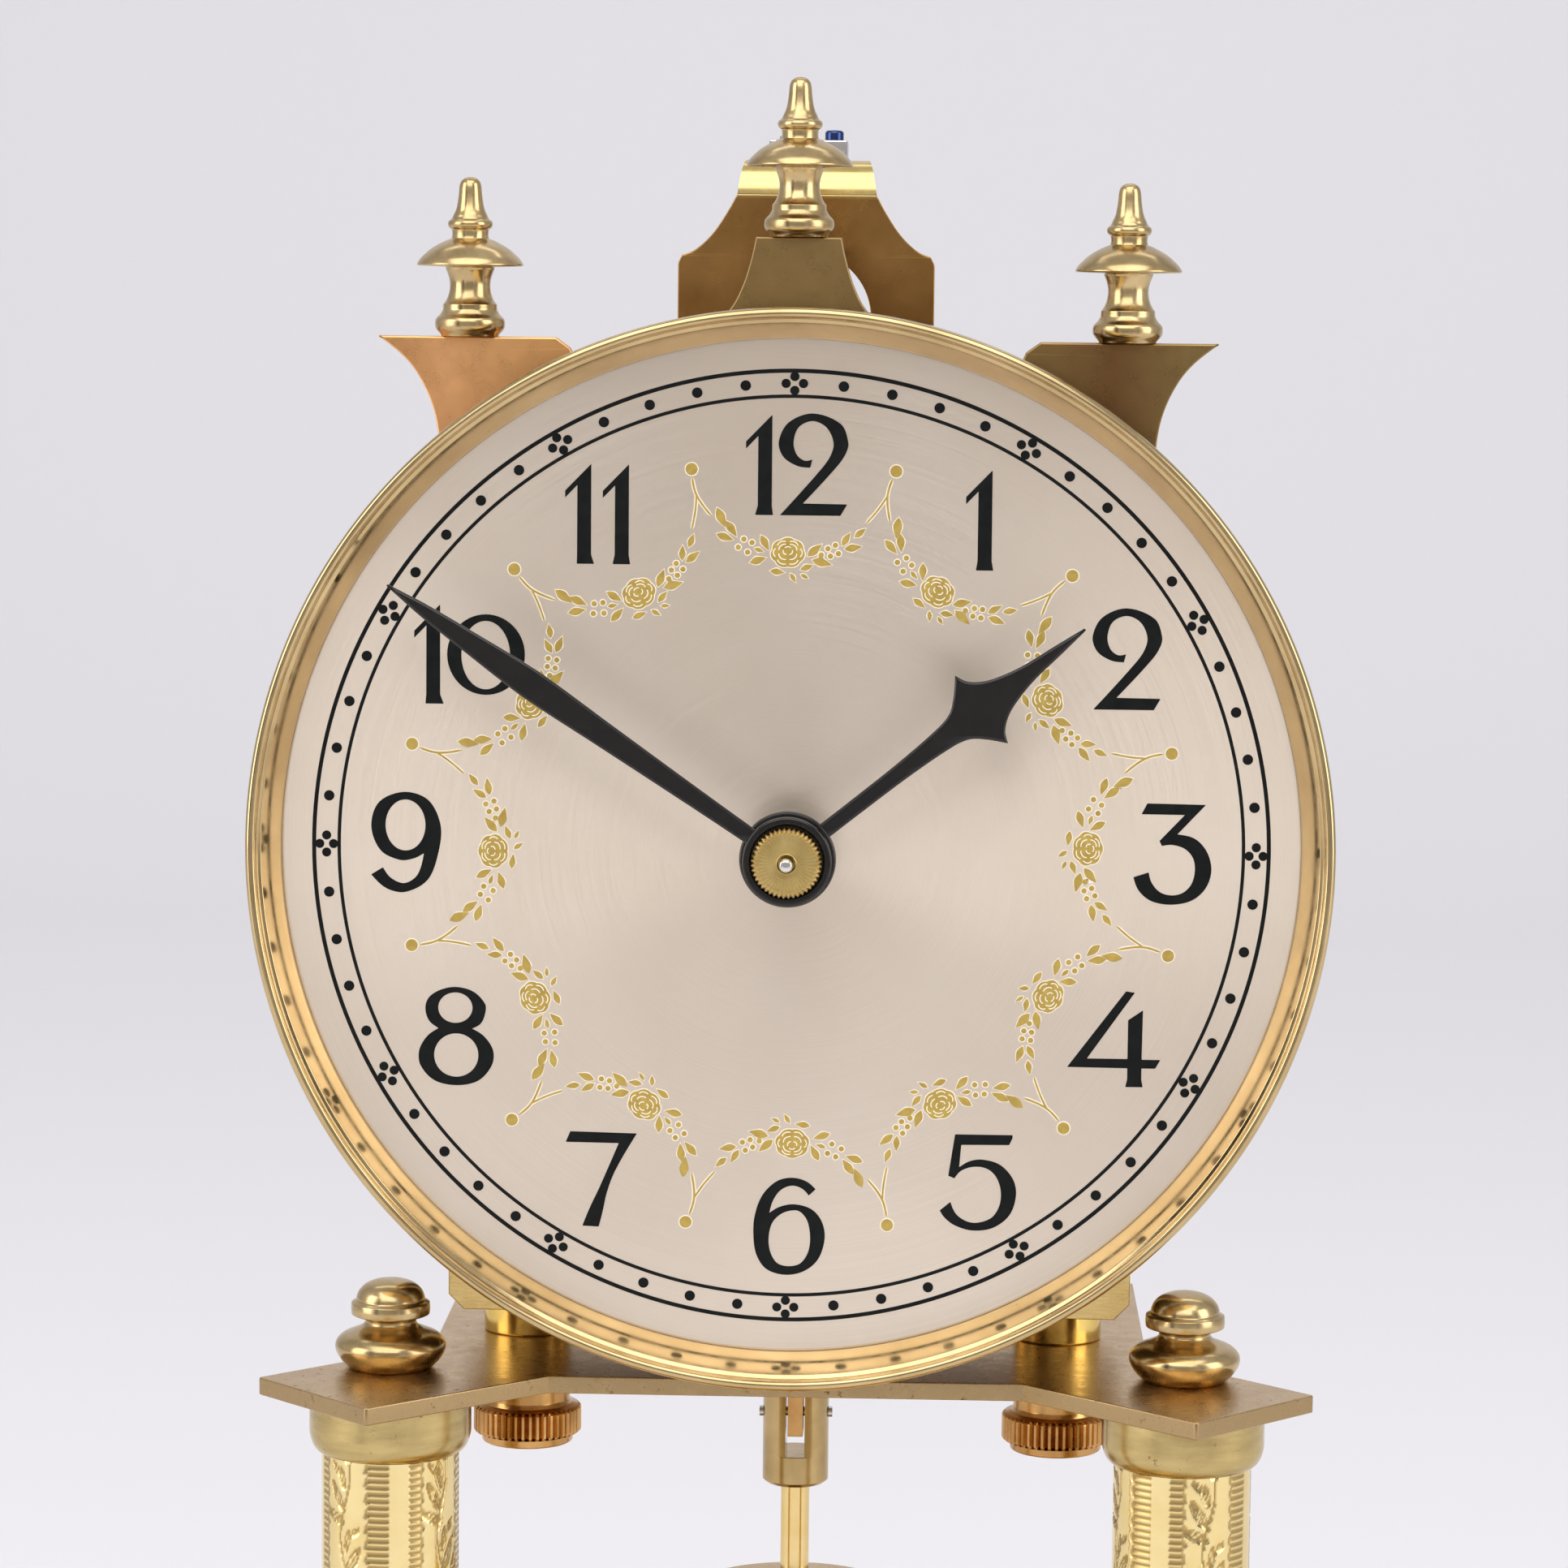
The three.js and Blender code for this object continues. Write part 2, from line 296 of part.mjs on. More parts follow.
// ---------------------------------------------------------------- suspension
{
  const half = [[13, 22], [13, 56.2], [11.2, 56.9], [9.4, 58.6], [7.8, 61], [6.7, 63.2], [6.2, 64.6], [6.2, 66.1]];
  let b = slabY([...half, ...half.map(([x, z]) => [-x, z]).reverse()], -7, -5.5, [circlePts(0, 50.2, 6.6, 16)]);
  b = join(b, boxOf(-6.2, 6.2, -6.5, 6, rel(64.6), rel(66.1)));
  add('suspension_bracket', cut(b, rodZ(0, 0, 2.2, rel(62), rel(67), 14)), DARK_BRASS, 0.35);
  const slotBox = (hx, hy, z0, z1) => boxOf(-hx, hx, -hy, hy, rel(z0), rel(z1));
  let saddle = join(boxOf(-4, 4, -3.4, 3.4, rel(66.15), rel(68.2)), rodZ(0, 0, 1.95, rel(64.1), rel(66.7), 12), rodZ(2.6, -1.6, 0.75, rel(67.7), rel(69.3), 10));
  saddle = cut(saddle, slotBox(0.35, 1.5, 61, 67.4));
  add('suspension_saddle', saddle, STEEL, 0.3);
  add('suspension_spring', boxOf(-0.075, 0.075, -1.2, 1.2, 124.5, rel(67.1)), 0xc0c0bc, 0.3);
  let fork = join(boxOf(-2, 2, -2.1, 2.1, rel(48.8), rel(51.8)), boxOf(0.9, 1.6, -13.6, -1.9, rel(49.8), rel(50.6)), boxOf(-1.6, -0.9, -13.6, -1.9, rel(49.8), rel(50.6)));
  add('suspension_fork', cut(fork, slotBox(0.35, 1.5, 45, 53)), BRASS, 0.3);
  const block = join(boxOf(-0.8, 0.8, -2.4, 2.4, 121.2, 127.5), solid(new THREE.CylinderGeometry(0.5, 0.5, 7.4, 10).rotateZ(Math.PI / 2).translate(0, 0, 123.4)));
  add('suspension_bottom_block', cut(block, boxOf(-0.35, 0.35, -1.5, 1.5, 124.2, 129)), STEEL, 0.3);
}
// ---------------------------------------------------------------- pendulum
{
  let head = turnZ([[0, 115.9], [2.9, 115.9], [3.45, 116.4], [3.45, 128.5], [3, 129.1], [0, 129.1]], 16);
  head = cut(head, boxOf(-1, 1, -5, 5, 119.2, 131), solid(new THREE.CylinderGeometry(0.65, 0.65, 9, 10).rotateZ(Math.PI / 2).translate(0, 0, 123.4)));
  add('pendulum_head', head, BRASS, 0.25);
  add('pendulum_canopy', turnZ([[1.7, 102.7], [10.6, 102.7], [11.2, 103.2], [11.2, 104.1], [10.6, 104.6], [1.7, 104.6], [1.7, 102.7]], 20), DARK_BRASS, 0.3);
  const A = PENDULUM_ARM;
  let frame = turnZ([[0, 40], [1.5, 40], [1.5, 43.9], [1.1, 44], [1.1, 47.2], [2.2, 47.4], [2.2, 60], [3, 61], [3, 63], [2.2, 64], [2.2, 94], [3.4, 96], [3.4, 102.5], [1.5, 102.5], [1.5, 115.7], [0, 115.7]], 10);
  frame = join(frame, turnZ([[0, 36.5], [1, 36.5], [1.5, 38], [1.5, 40.2], [0, 40.2]], 14));
  for (let k = 0; k < 4; k++) {
    const a = rad(45 + 90 * k), c = Math.cos(a), s = Math.sin(a);
    const path = new THREE.CatmullRomCurve3([[1, 99], [8, 98.5], [18, 94.5], [25, 86], [A, 74.5]].map(([r, z]) => new THREE.Vector3(r * c, r * s, z)));
    const sec = shapeOf(circlePts(0, 0, 1.1, 6));
    frame = join(frame, solid(new THREE.ExtrudeGeometry(sec, { steps: 7, bevelEnabled: false, extrudePath: path })));
    const ball = []; for (let i = 0; i <= 6; i++) { const t = -Math.PI / 2 + Math.PI * i / 6; ball.push([Math.max(0, PENDULUM_BALL_R * Math.cos(t)), BALL_Z + PENDULUM_BALL_R * Math.sin(t)]); }
    ball[0][0] = 0; ball[6] = [1.6, BALL_Z + PENDULUM_BALL_R * 0.988];
    ball.push([1.6, 74.1], [0, 74.1]);
    add('pendulum_ball_' + (k + 1), turnZ(ball, 12, A * c, A * s), BRASS, 0.15);
  }
  add('pendulum_frame', frame, BRASS, 0.25);
  add('regulating_disc', turnZ([[1.4, 44.2], [12.4, 44.2], [13, 44.8], [13, 46.4], [12.4, 47], [1.4, 47], [1.4, 44.2]], 20), BRASS, 0.25);
}

export default group;
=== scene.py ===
import bpy
import bmesh
import json
import math
import random
import numpy as np
from mathutils import Matrix, Vector

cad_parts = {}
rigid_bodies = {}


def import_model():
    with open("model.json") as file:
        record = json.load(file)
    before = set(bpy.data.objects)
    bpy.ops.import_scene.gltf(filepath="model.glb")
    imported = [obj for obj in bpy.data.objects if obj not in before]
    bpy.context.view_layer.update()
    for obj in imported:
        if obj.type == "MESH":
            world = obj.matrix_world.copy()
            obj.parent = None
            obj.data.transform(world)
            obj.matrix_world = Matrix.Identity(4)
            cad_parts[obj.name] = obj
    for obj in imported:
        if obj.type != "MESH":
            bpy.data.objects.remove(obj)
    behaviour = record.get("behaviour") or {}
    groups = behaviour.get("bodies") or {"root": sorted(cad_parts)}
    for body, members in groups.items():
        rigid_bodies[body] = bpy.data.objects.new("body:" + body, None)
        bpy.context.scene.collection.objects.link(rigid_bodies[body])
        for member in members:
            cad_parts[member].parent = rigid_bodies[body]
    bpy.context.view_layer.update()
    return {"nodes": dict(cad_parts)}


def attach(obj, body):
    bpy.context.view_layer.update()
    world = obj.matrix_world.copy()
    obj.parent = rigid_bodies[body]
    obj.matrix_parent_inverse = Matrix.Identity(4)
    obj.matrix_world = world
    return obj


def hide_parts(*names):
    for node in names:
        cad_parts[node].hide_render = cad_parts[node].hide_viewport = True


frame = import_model()
sc = bpy.context.scene
random.seed(11)
S = 0.001          # everything below is written in millimetres
DZ = 187.8         # height of the dial centre

# ------------------------------------------------------------------ outlines


def path(pts, r=0.0, per=6, closed=True):
    """Points (x, y) or (x, y, 'c'): 'c' is a corner, the rest is a smooth curve. Corners get a small round r."""
    P = [(float(p[0]), float(p[1])) for p in pts]
    C = [len(p) > 2 for p in pts]
    n = len(P)
    if not closed:
        C[0] = C[-1] = True
    d = [math.dist(P[i], P[(i + 1) % n]) or 1e-9 for i in range(n)]
    out = []
    for i in range(n if closed else n - 1):
        j = (i + 1) % n
        a, b = P[i], P[j]
        out.append((a, C[i]))
        if C[i] and C[j]:
            continue
        chord = (b[0] - a[0], b[1] - a[1])
        m0 = m1 = None
        if not C[i]:
            q = P[i - 1]
            k = d[i] / (d[i - 1] + d[i])
            m0 = ((b[0] - q[0]) * k, (b[1] - q[1]) * k)
        if not C[j]:
            q = P[(j + 1) % n]
            k = d[i] / (d[j] + d[i])
            m1 = ((q[0] - a[0]) * k, (q[1] - a[1]) * k)
        if m0 is None:
            m0 = (1.5 * chord[0] - 0.5 * m1[0], 1.5 * chord[1] - 0.5 * m1[1])
        if m1 is None:
            m1 = (1.5 * chord[0] - 0.5 * m0[0], 1.5 * chord[1] - 0.5 * m0[1])
        for s in range(1, per):
            t = s / per
            h00, h10 = 2 * t**3 - 3 * t * t + 1, t**3 - 2 * t * t + t
            h01, h11 = -2 * t**3 + 3 * t * t, t**3 - t * t
            out.append(((h00 * a[0] + h10 * m0[0] + h01 * b[0] + h11 * m1[0],
                         h00 * a[1] + h10 * m0[1] + h01 * b[1] + h11 * m1[1]), False))
    if not closed:
        out.append((P[-1], True))
    if r <= 0:
        return [p for p, _ in out]
    res, m = [], len(out)
    for i, (p, c) in enumerate(out):
        ends = not closed and i in (0, m - 1)
        if not c or ends:
            res.append(p)
            continue
        q, w = out[i - 1][0], out[(i + 1) % m][0]
        dq, dw = math.dist(p, q), math.dist(p, w)
        k = min(r, 0.45 * dq, 0.45 * dw)
        A = (p[0] + (q[0] - p[0]) * k / dq, p[1] + (q[1] - p[1]) * k / dq)
        B = (p[0] + (w[0] - p[0]) * k / dw, p[1] + (w[1] - p[1]) * k / dw)
        for s in range(4):
            t = s / 3
            res.append((A[0] * (1 - t)**2 + 2 * p[0] * t * (1 - t) + B[0] * t * t,
                        A[1] * (1 - t)**2 + 2 * p[1] * t * (1 - t) + B[1] * t * t))
    return res


def hard(pts):
    return [(p[0], p[1], "c") for p in pts]


def circle(x, y, r, n=40, a0=0.0):
    return [(x + r * math.cos(a0 + 2 * math.pi * i / n), y + r * math.sin(a0 + 2 * math.pi * i / n)) for i in range(n)]


def ellipse(x, y, rx, ry, n=56):
    return [(x + rx * math.cos(2 * math.pi * i / n), y + ry * math.sin(2 * math.pi * i / n)) for i in range(n)]


# ------------------------------------------------------------------ meshes


def put(me, name, mat, body="root", slot=None, nodes=(), sharp=40, weighted=True):
    bm = bmesh.new()
    bm.from_mesh(me)
    bmesh.ops.remove_doubles(bm, verts=bm.verts, dist=1e-7)
    bmesh.ops.recalc_face_normals(bm, faces=bm.faces)
    bm.to_mesh(me)
    bm.free()
    me.name = name
    me.materials.clear()
    me.materials.append(mat)
    me.shade_smooth()
    me.set_sharp_from_angle(angle=math.radians(sharp))
    ob = bpy.data.objects.new(name, me)
    sc.collection.objects.link(ob)
    if weighted:
        w = ob.modifiers.new("wn", "WEIGHTED_NORMAL")
        w.keep_sharp = True
        w.weight = 80
    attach(ob, body)
    if nodes:
        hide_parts(*nodes)
    return ob


def mesh(verts, faces):
    me = bpy.data.meshes.new("m")
    me.from_pydata([(x * S, y * S, z * S) for x, y, z in verts], [], faces)
    me.update()
    return me


def lathe_data(prof, n=96, axis="z", cx=0.0, cy=0.0, knurl=None):
    """prof: [(radius, height)]; closed when the ends meet. knurl(i, a) gives a radius offset for ring i at angle a."""
    closed = math.dist(prof[0], prof[-1]) < 1e-9
    pts = prof[:-1] if closed else prof
    verts, rings = [], []

    def at(r, h, a):
        u, v = cx + r * math.cos(a), cy + r * math.sin(a)
        return (u, v, h) if axis == "z" else (u, h, DZ + v)

    for i, (r, h) in enumerate(pts):
        if r < 1e-6:
            rings.append([len(verts)])
            verts.append(at(0, h, 0))
        else:
            rings.append(list(range(len(verts), len(verts) + n)))
            for k in range(n):
                a = 2 * math.pi * k / n
                verts.append(at(r + (knurl(i, a) if knurl else 0.0), h, a))
    faces = []
    m = len(pts)
    for i in range(m if closed else m - 1):
        A, B = rings[i], rings[(i + 1) % m]
        if len(A) == 1 and len(B) == 1:
            continue
        for k in range(n):
            l = (k + 1) % n
            if len(A) == 1:
                faces.append((A[0], B[k], B[l]))
            elif len(B) == 1:
                faces.append((A[k], B[0], A[l]))
            else:
                faces.append((A[k], B[k], B[l], A[l]))
    return verts, faces


def lathe(name, prof, mat, n=96, axis="z", cx=0.0, cy=0.0, knurl=None, **kw):
    return put(mesh(*lathe_data(prof, n, axis, cx, cy, knurl)), name, mat, **kw)


def merge(*parts):
    verts, faces = [], []
    for v, f in parts:
        o = len(verts)
        verts += v
        faces += [tuple(i + o for i in q) for q in f]
    return verts, faces


def knurled(prof, at, name, mat, teeth, depth, h0, h1, per=6, **kw):
    """A turned part whose rim between the heights h0 and h1 carries straight knurling."""
    rows = [i for i, (r, h) in enumerate(prof) if h0 <= h <= h1 and r > at]

    def k(i, a):
        if i not in rows:
            return 0.0
        t = (a * teeth / (2 * math.pi)) % 1.0
        return -depth * max(0.0, 1.6 * abs(2 * t - 1) - 0.6)
    return lathe(name, prof, mat, n=teeth * per, knurl=k, sharp=32, weighted=False, **kw)


def plate_mesh(loops, a0, a1, plane="y", bevel=0.0, res=1, zoff=None):
    """Flat outline, with holes, raised between two depths; the edges get a small round of size bevel."""
    cu = bpy.data.curves.new("c", "CURVE")
    cu.dimensions = "2D"
    cu.fill_mode = "BOTH"
    half = (a1 - a0) / 2
    bevel = min(bevel, half * 0.9)
    cu.extrude = half - bevel
    cu.bevel_depth = bevel
    cu.bevel_resolution = res
    cu.offset = -bevel
    for loop in loops:
        sp = cu.splines.new("POLY")
        sp.points.add(len(loop) - 1)
        for p, (x, y) in zip(sp.points, loop):
            p.co = (x, y, 0, 1)
        sp.use_cyclic_u = True
    ob = bpy.data.objects.new("c", cu)
    sc.collection.objects.link(ob)
    bpy.context.view_layer.update()
    me = bpy.data.meshes.new_from_object(ob.evaluated_get(bpy.context.evaluated_depsgraph_get()))
    bpy.data.objects.remove(ob)
    mid = (a0 + a1) / 2
    if plane == "y":
        m = Matrix(((1, 0, 0, 0), (0, 0, -1, mid), (0, 1, 0, DZ if zoff is None else zoff), (0, 0, 0, 1)))
    else:
        m = Matrix.Translation((0, 0, mid))
    me.transform(Matrix.Scale(S, 4) @ m)
    return me


def plate(name, loops, mat, a0, a1, plane="y", bevel=0.1, res=2, **kw):
    return put(plate_mesh(loops, a0, a1, plane, bevel, res), name, mat, **kw)


def join_meshes(parts):
    bm = bmesh.new()
    for me in parts:
        bm.from_mesh(me)
    out = bpy.data.meshes.new("j")
    bm.to_mesh(out)
    bm.free()
    return out


def box_data(x0, x1, y0, y1, z0, z1):
    v = [(x, y, z) for z in (z0, z1) for y in (y0, y1) for x in (x0, x1)]
    f = [(0, 2, 3, 1), (4, 5, 7, 6), (0, 1, 5, 4), (2, 6, 7, 3), (0, 4, 6, 2), (1, 3, 7, 5)]
    return v, f


def bevel_mesh(me, width, seg=2):
    bm = bmesh.new()
    bm.from_mesh(me)
    edges = [e for e in bm.edges if len(e.link_faces) == 2 and e.calc_face_angle(0) > 0.5]
    bmesh.ops.bevel(bm, geom=edges, offset=width * S, segments=seg, profile=0.5, affect="EDGES", clamp_overlap=True)
    bm.to_mesh(me)
    bm.free()
    return me


# ------------------------------------------------------------------ materials


def material(name, metallic=1.0, rough=0.3, coat=0.0, color=None, spec=None):
    m = bpy.data.materials.new(name)
    m.use_nodes = True
    b = m.node_tree.nodes["Principled BSDF"]
    b.inputs["Metallic"].default_value = metallic
    b.inputs["Roughness"].default_value = rough
    if color:
        b.inputs["Base Color"].default_value = (*color, 1)
    if coat:
        b.inputs["Coat Weight"].default_value = coat
        b.inputs["Coat Roughness"].default_value = 0.08
    if spec is not None:
        b.inputs["Specular IOR Level"].default_value = spec
    return m, m.node_tree, b


def coords(nt):
    return nt.nodes.new("ShaderNodeTexCoord").outputs["Object"]


def noise(nt, scale, detail=4.0, rough=0.55, vec=None, dist=0.0):
    n = nt.nodes.new("ShaderNodeTexNoise")
    n.inputs["Scale"].default_value = scale
    n.inputs["Detail"].default_value = detail
    n.inputs["Roughness"].default_value = rough
    n.inputs["Distortion"].default_value = dist
    nt.links.new(vec if vec is not None else coords(nt), n.inputs["Vector"])
    return n.outputs["Fac"]


def ramp(nt, fac, stops):
    r = nt.nodes.new("ShaderNodeValToRGB")
    el = r.color_ramp.elements
    el[0].position, el[0].color = stops[0][0], (*stops[0][1], 1)
    el[1].position, el[1].color = stops[-1][0], (*stops[-1][1], 1)
    for p, c in stops[1:-1]:
        e = el.new(p)
        e.color = (*c, 1)
    nt.links.new(fac, r.inputs["Fac"])
    return r.outputs["Color"]


def span(nt, fac, a, b, c, d):
    m = nt.nodes.new("ShaderNodeMapRange")
    for k, v in zip(("From Min", "From Max", "To Min", "To Max"), (a, b, c, d)):
        m.inputs[k].default_value = v
    nt.links.new(fac, m.inputs["Value"])
    return m.outputs["Result"]


def bump(nt, b, height, strength, distance=0.0001):
    n = nt.nodes.new("ShaderNodeBump")
    n.inputs["Strength"].default_value = strength
    n.inputs["Distance"].default_value = distance
    nt.links.new(height, n.inputs["Height"])
    nt.links.new(n.outputs["Normal"], b.inputs["Normal"])


def mixcol(nt, fac, a, b):
    m = nt.nodes.new("ShaderNodeMix")
    m.data_type = "RGBA"
    for sock, v in ((m.inputs[6], a), (m.inputs[7], b)):
        if isinstance(v, tuple):
            sock.default_value = (*v, 1)
        else:
            nt.links.new(v, sock)
    nt.links.new(fac, m.inputs[0])
    return m.outputs[2]


def metal(name, c1, c2, r0, r1, scale=220, rscale=500, spots=None, spot_at=0.68, bumpy=0.0, stretch=None, spot_scale=1400, side_shade=None, cstretch=None, top_highlight=None):
    """Two metal tones that wander into one another, uneven polish, optional dark specks of tarnish, optional painted
    shade on upright faces and an optional painted highlight over a height.
    """
    m, nt, b = material(name)
    vec = coords(nt)
    if stretch:
        mp = nt.nodes.new("ShaderNodeMapping")
        mp.inputs["Scale"].default_value = stretch
        nt.links.new(vec, mp.inputs["Vector"])
        svec = mp.outputs["Vector"]
    else:
        svec = vec
    cvec = vec
    if cstretch:
        mp = nt.nodes.new("ShaderNodeMapping")
        mp.inputs["Scale"].default_value = cstretch
        nt.links.new(vec, mp.inputs["Vector"])
        cvec = mp.outputs["Vector"]
    col = ramp(nt, noise(nt, scale, 5, 0.6, cvec), [(0.32, c1), (0.68, c2)])
    if side_shade:                       # painted shade: upright faces get a darker tone than the tops, as if they caught less of the light
        ge = nt.nodes.new("ShaderNodeNewGeometry")
        sx = nt.nodes.new("ShaderNodeSeparateXYZ")
        nt.links.new(ge.outputs["Normal"], sx.inputs[0])
        col = mixcol(nt, span(nt, sx.outputs["Z"], 0.35, 0.9, 0.85, 0), col, side_shade)
    if top_highlight:                       # (height, tone): painted highlight, a brighter tone over a height, standing in for light from the top falling on the upper part
        sx = nt.nodes.new("ShaderNodeSeparateXYZ")
        nt.links.new(vec, sx.inputs[0])
        col = mixcol(nt, span(nt, sx.outputs["Z"], top_highlight[0] - 0.0003, top_highlight[0] + 0.0003, 0, 1), col, top_highlight[1])
    rf = span(nt, noise(nt, rscale, 6, 0.65, svec), 0.3, 0.7, r0, r1)
    if spots:
        sp = noise(nt, spot_scale, 8, 0.75, vec)
        mask = span(nt, sp, spot_at, spot_at + 0.05, 0, 1)
        col = mixcol(nt, mask, col, spots)
        rf2 = nt.nodes.new("ShaderNodeMath")
        rf2.operation = "MULTIPLY_ADD"
        nt.links.new(mask, rf2.inputs[0])
        rf2.inputs[1].default_value = 0.25
        nt.links.new(rf, rf2.inputs[2])
        rf = rf2.outputs[0]
    nt.links.new(col, b.inputs["Base Color"])
    nt.links.new(rf, b.inputs["Roughness"])
    if bumpy:
        bump(nt, b, noise(nt, rscale * 2, 5, 0.6, svec), bumpy, 0.00002)
    return m


POL = metal("brass_polished", (0.73, 0.52, 0.20), (0.80, 0.61, 0.29), 0.07, 0.17, spots=(0.34, 0.22, 0.09), spot_at=0.73)
PALE = metal("brass_pale", (0.44, 0.32, 0.15), (0.60, 0.45, 0.23), 0.16, 0.30, scale=330, spots=(0.22, 0.14, 0.06), spot_at=0.66, bumpy=0.25)
# the darker tone on the upright faces of this brass is painted shade; the dark specks are tarnish
DARK = metal("brass_tarnished_side_shaded", (0.50, 0.335, 0.16), (0.62, 0.44, 0.22), 0.22, 0.36, scale=90, spots=(0.19, 0.12, 0.06), spot_at=0.61, spot_scale=1100, side_shade=(0.36, 0.25, 0.125))
CAPM = metal("brass_cap", (0.42, 0.31, 0.13), (0.58, 0.44, 0.19), 0.16, 0.30, scale=150, spots=(0.24, 0.15, 0.065), spot_at=0.62, spot_scale=900, cstretch=(1, 1, 5))
COPPER = metal("brass_orange", (0.42, 0.215, 0.07), (0.62, 0.36, 0.13), 0.16, 0.30, spots=(0.30, 0.15, 0.06), spot_at=0.70)
SPACER = metal("brass_spacer", (0.66, 0.44, 0.11), (0.78, 0.56, 0.17), 0.12, 0.24)
PLATE = metal("brass_plate", (0.66, 0.47, 0.18), (0.76, 0.57, 0.24), 0.18, 0.32, stretch=(1, 1, 12))
WHEEL = metal("brass_wheel", (0.64, 0.44, 0.16), (0.74, 0.54, 0.22), 0.20, 0.34)
BEZM = metal("brass_bezel", (0.47, 0.34, 0.165), (0.61, 0.46, 0.24), 0.08, 0.17, scale=110, spots=(0.22, 0.13, 0.06), spot_at=0.66, spot_scale=1000)
STEEL = metal("steel", (0.44, 0.44, 0.45), (0.55, 0.55, 0.56), 0.18, 0.32)
NICKEL = metal("steel_bright", (0.62, 0.62, 0.62), (0.72, 0.71, 0.70), 0.10, 0.2)
BLUED = metal("steel_blued", (0.03, 0.05, 0.16), (0.06, 0.09, 0.24), 0.15, 0.28)
SPRING = metal("spring_steel", (0.40, 0.42, 0.45), (0.50, 0.51, 0.53), 0.22, 0.34)
IRON = metal("cast_iron", (0.045, 0.045, 0.048), (0.075, 0.072, 0.07), 0.5, 0.75, bumpy=0.5)


def crest_material():
    m, nt, b = material("brass_crest_painted_reflection")
    vec = coords(nt)
    sep = nt.nodes.new("ShaderNodeSeparateXYZ")
    nt.links.new(vec, sep.inputs[0])
    # painted reflection: the tone across the crest's width is painted in, a bright band near the left edge and darker
    # bands towards the right, standing in for what the polished face reflects
    x = span(nt, sep.outputs["X"], -0.042, 0.042, 0, 1)
    col = ramp(nt, x, [(0.0, (0.74, 0.37, 0.14)), (0.10, (0.95, 0.50, 0.22)), (0.27, (0.85, 0.46, 0.17)), (0.40, (0.36, 0.24, 0.095)),
                       (0.60, (0.34, 0.225, 0.09)), (0.74, (0.36, 0.24, 0.09)), (0.86, (0.22, 0.115, 0.045)), (1.0, (0.36, 0.26, 0.10))])
    blot = span(nt, noise(nt, 70, 2, 0.5, vec), 0.45, 0.8, 0, 0.35)
    col = mixcol(nt, blot, col, (0.20, 0.12, 0.045))
    spots = span(nt, noise(nt, 2600, 4, 0.6, vec), 0.70, 0.75, 0, 0.7)
    col = mixcol(nt, spots, col, (0.10, 0.06, 0.03))
    nt.links.new(col, b.inputs["Base Color"])
    nt.links.new(span(nt, noise(nt, 500, 6, 0.6, vec), 0.3, 0.7, 0.24, 0.36), b.inputs["Roughness"])
    return m


def dial_material():
    """Silvered brass, brushed round the centre, with faint long scratches."""
    m, nt, b = material("dial_silvered", rough=0.34)
    vec = coords(nt)
    sep = nt.nodes.new("ShaderNodeSeparateXYZ")
    nt.links.new(vec, sep.inputs[0])
    off = nt.nodes.new("ShaderNodeMath")
    off.operation = "SUBTRACT"
    nt.links.new(sep.outputs["Z"], off.inputs[0])
    off.inputs[1].default_value = DZ * S
    xy = nt.nodes.new("ShaderNodeCombineXYZ")
    nt.links.new(sep.outputs["X"], xy.inputs["X"])
    nt.links.new(off.outputs[0], xy.inputs["Y"])
    ln = nt.nodes.new("ShaderNodeVectorMath")
    ln.operation = "LENGTH"
    nt.links.new(xy.outputs[0], ln.inputs[0])
    at = nt.nodes.new("ShaderNodeMath")
    at.operation = "ARCTAN2"
    nt.links.new(off.outputs[0], at.inputs[0])
    nt.links.new(sep.outputs["X"], at.inputs[1])
    polar = nt.nodes.new("ShaderNodeCombineXYZ")
    mr = nt.nodes.new("ShaderNodeMath")
    mr.operation = "MULTIPLY"
    nt.links.new(ln.outputs["Value"], mr.inputs[0])
    mr.inputs[1].default_value = 9000.0
    nt.links.new(mr.outputs[0], polar.inputs["X"])
    ma = nt.nodes.new("ShaderNodeMath")
    ma.operation = "MULTIPLY"
    nt.links.new(at.outputs[0], ma.inputs[0])
    ma.inputs[1].default_value = 1.2
    nt.links.new(ma.outputs[0], polar.inputs["Y"])
    streak = noise(nt, 1.0, 3, 0.6, polar.outputs[0])
    tone = noise(nt, 45, 4, 0.5, vec)
    col = ramp(nt, tone, [(0.3, (0.755, 0.650, 0.535)), (0.7, (0.82, 0.72, 0.605))])
    col = mixcol(nt, span(nt, streak, 0.3, 0.75, 0.0, 0.22), col, (0.56, 0.485, 0.40))
    nt.links.new(col, b.inputs["Base Color"])
    nt.links.new(span(nt, streak, 0.3, 0.7, 0.30, 0.42), b.inputs["Roughness"])
    b.inputs["Metallic"].default_value = 0.9
    b.inputs["Anisotropic"].default_value = 0.80
    tg = nt.nodes.new("ShaderNodeTangent")
    tg.direction_type = "RADIAL"
    tg.axis = "Y"
    nt.links.new(tg.outputs[0], b.inputs["Tangent"])
    bump(nt, b, streak, 0.06, 0.00001)
    return m


def engraved_material():
    """Polished brass with the engraved ground darker and duller; the depth is stored on the mesh."""
    m, nt, b = material("brass_engraved")
    vec = coords(nt)
    at = nt.nodes.new("ShaderNodeAttribute")
    at.attribute_name = "cut"
    top = ramp(nt, noise(nt, 200, 5, 0.6, vec), [(0.3, (0.80, 0.62, 0.27)), (0.7, (0.86, 0.70, 0.36))])
    col = mixcol(nt, at.outputs["Fac"], top, (0.44, 0.30, 0.11))
    nt.links.new(col, b.inputs["Base Color"])
    nt.links.new(span(nt, at.outputs["Fac"], 0, 1, 0.09, 0.34), b.inputs["Roughness"])
    return m


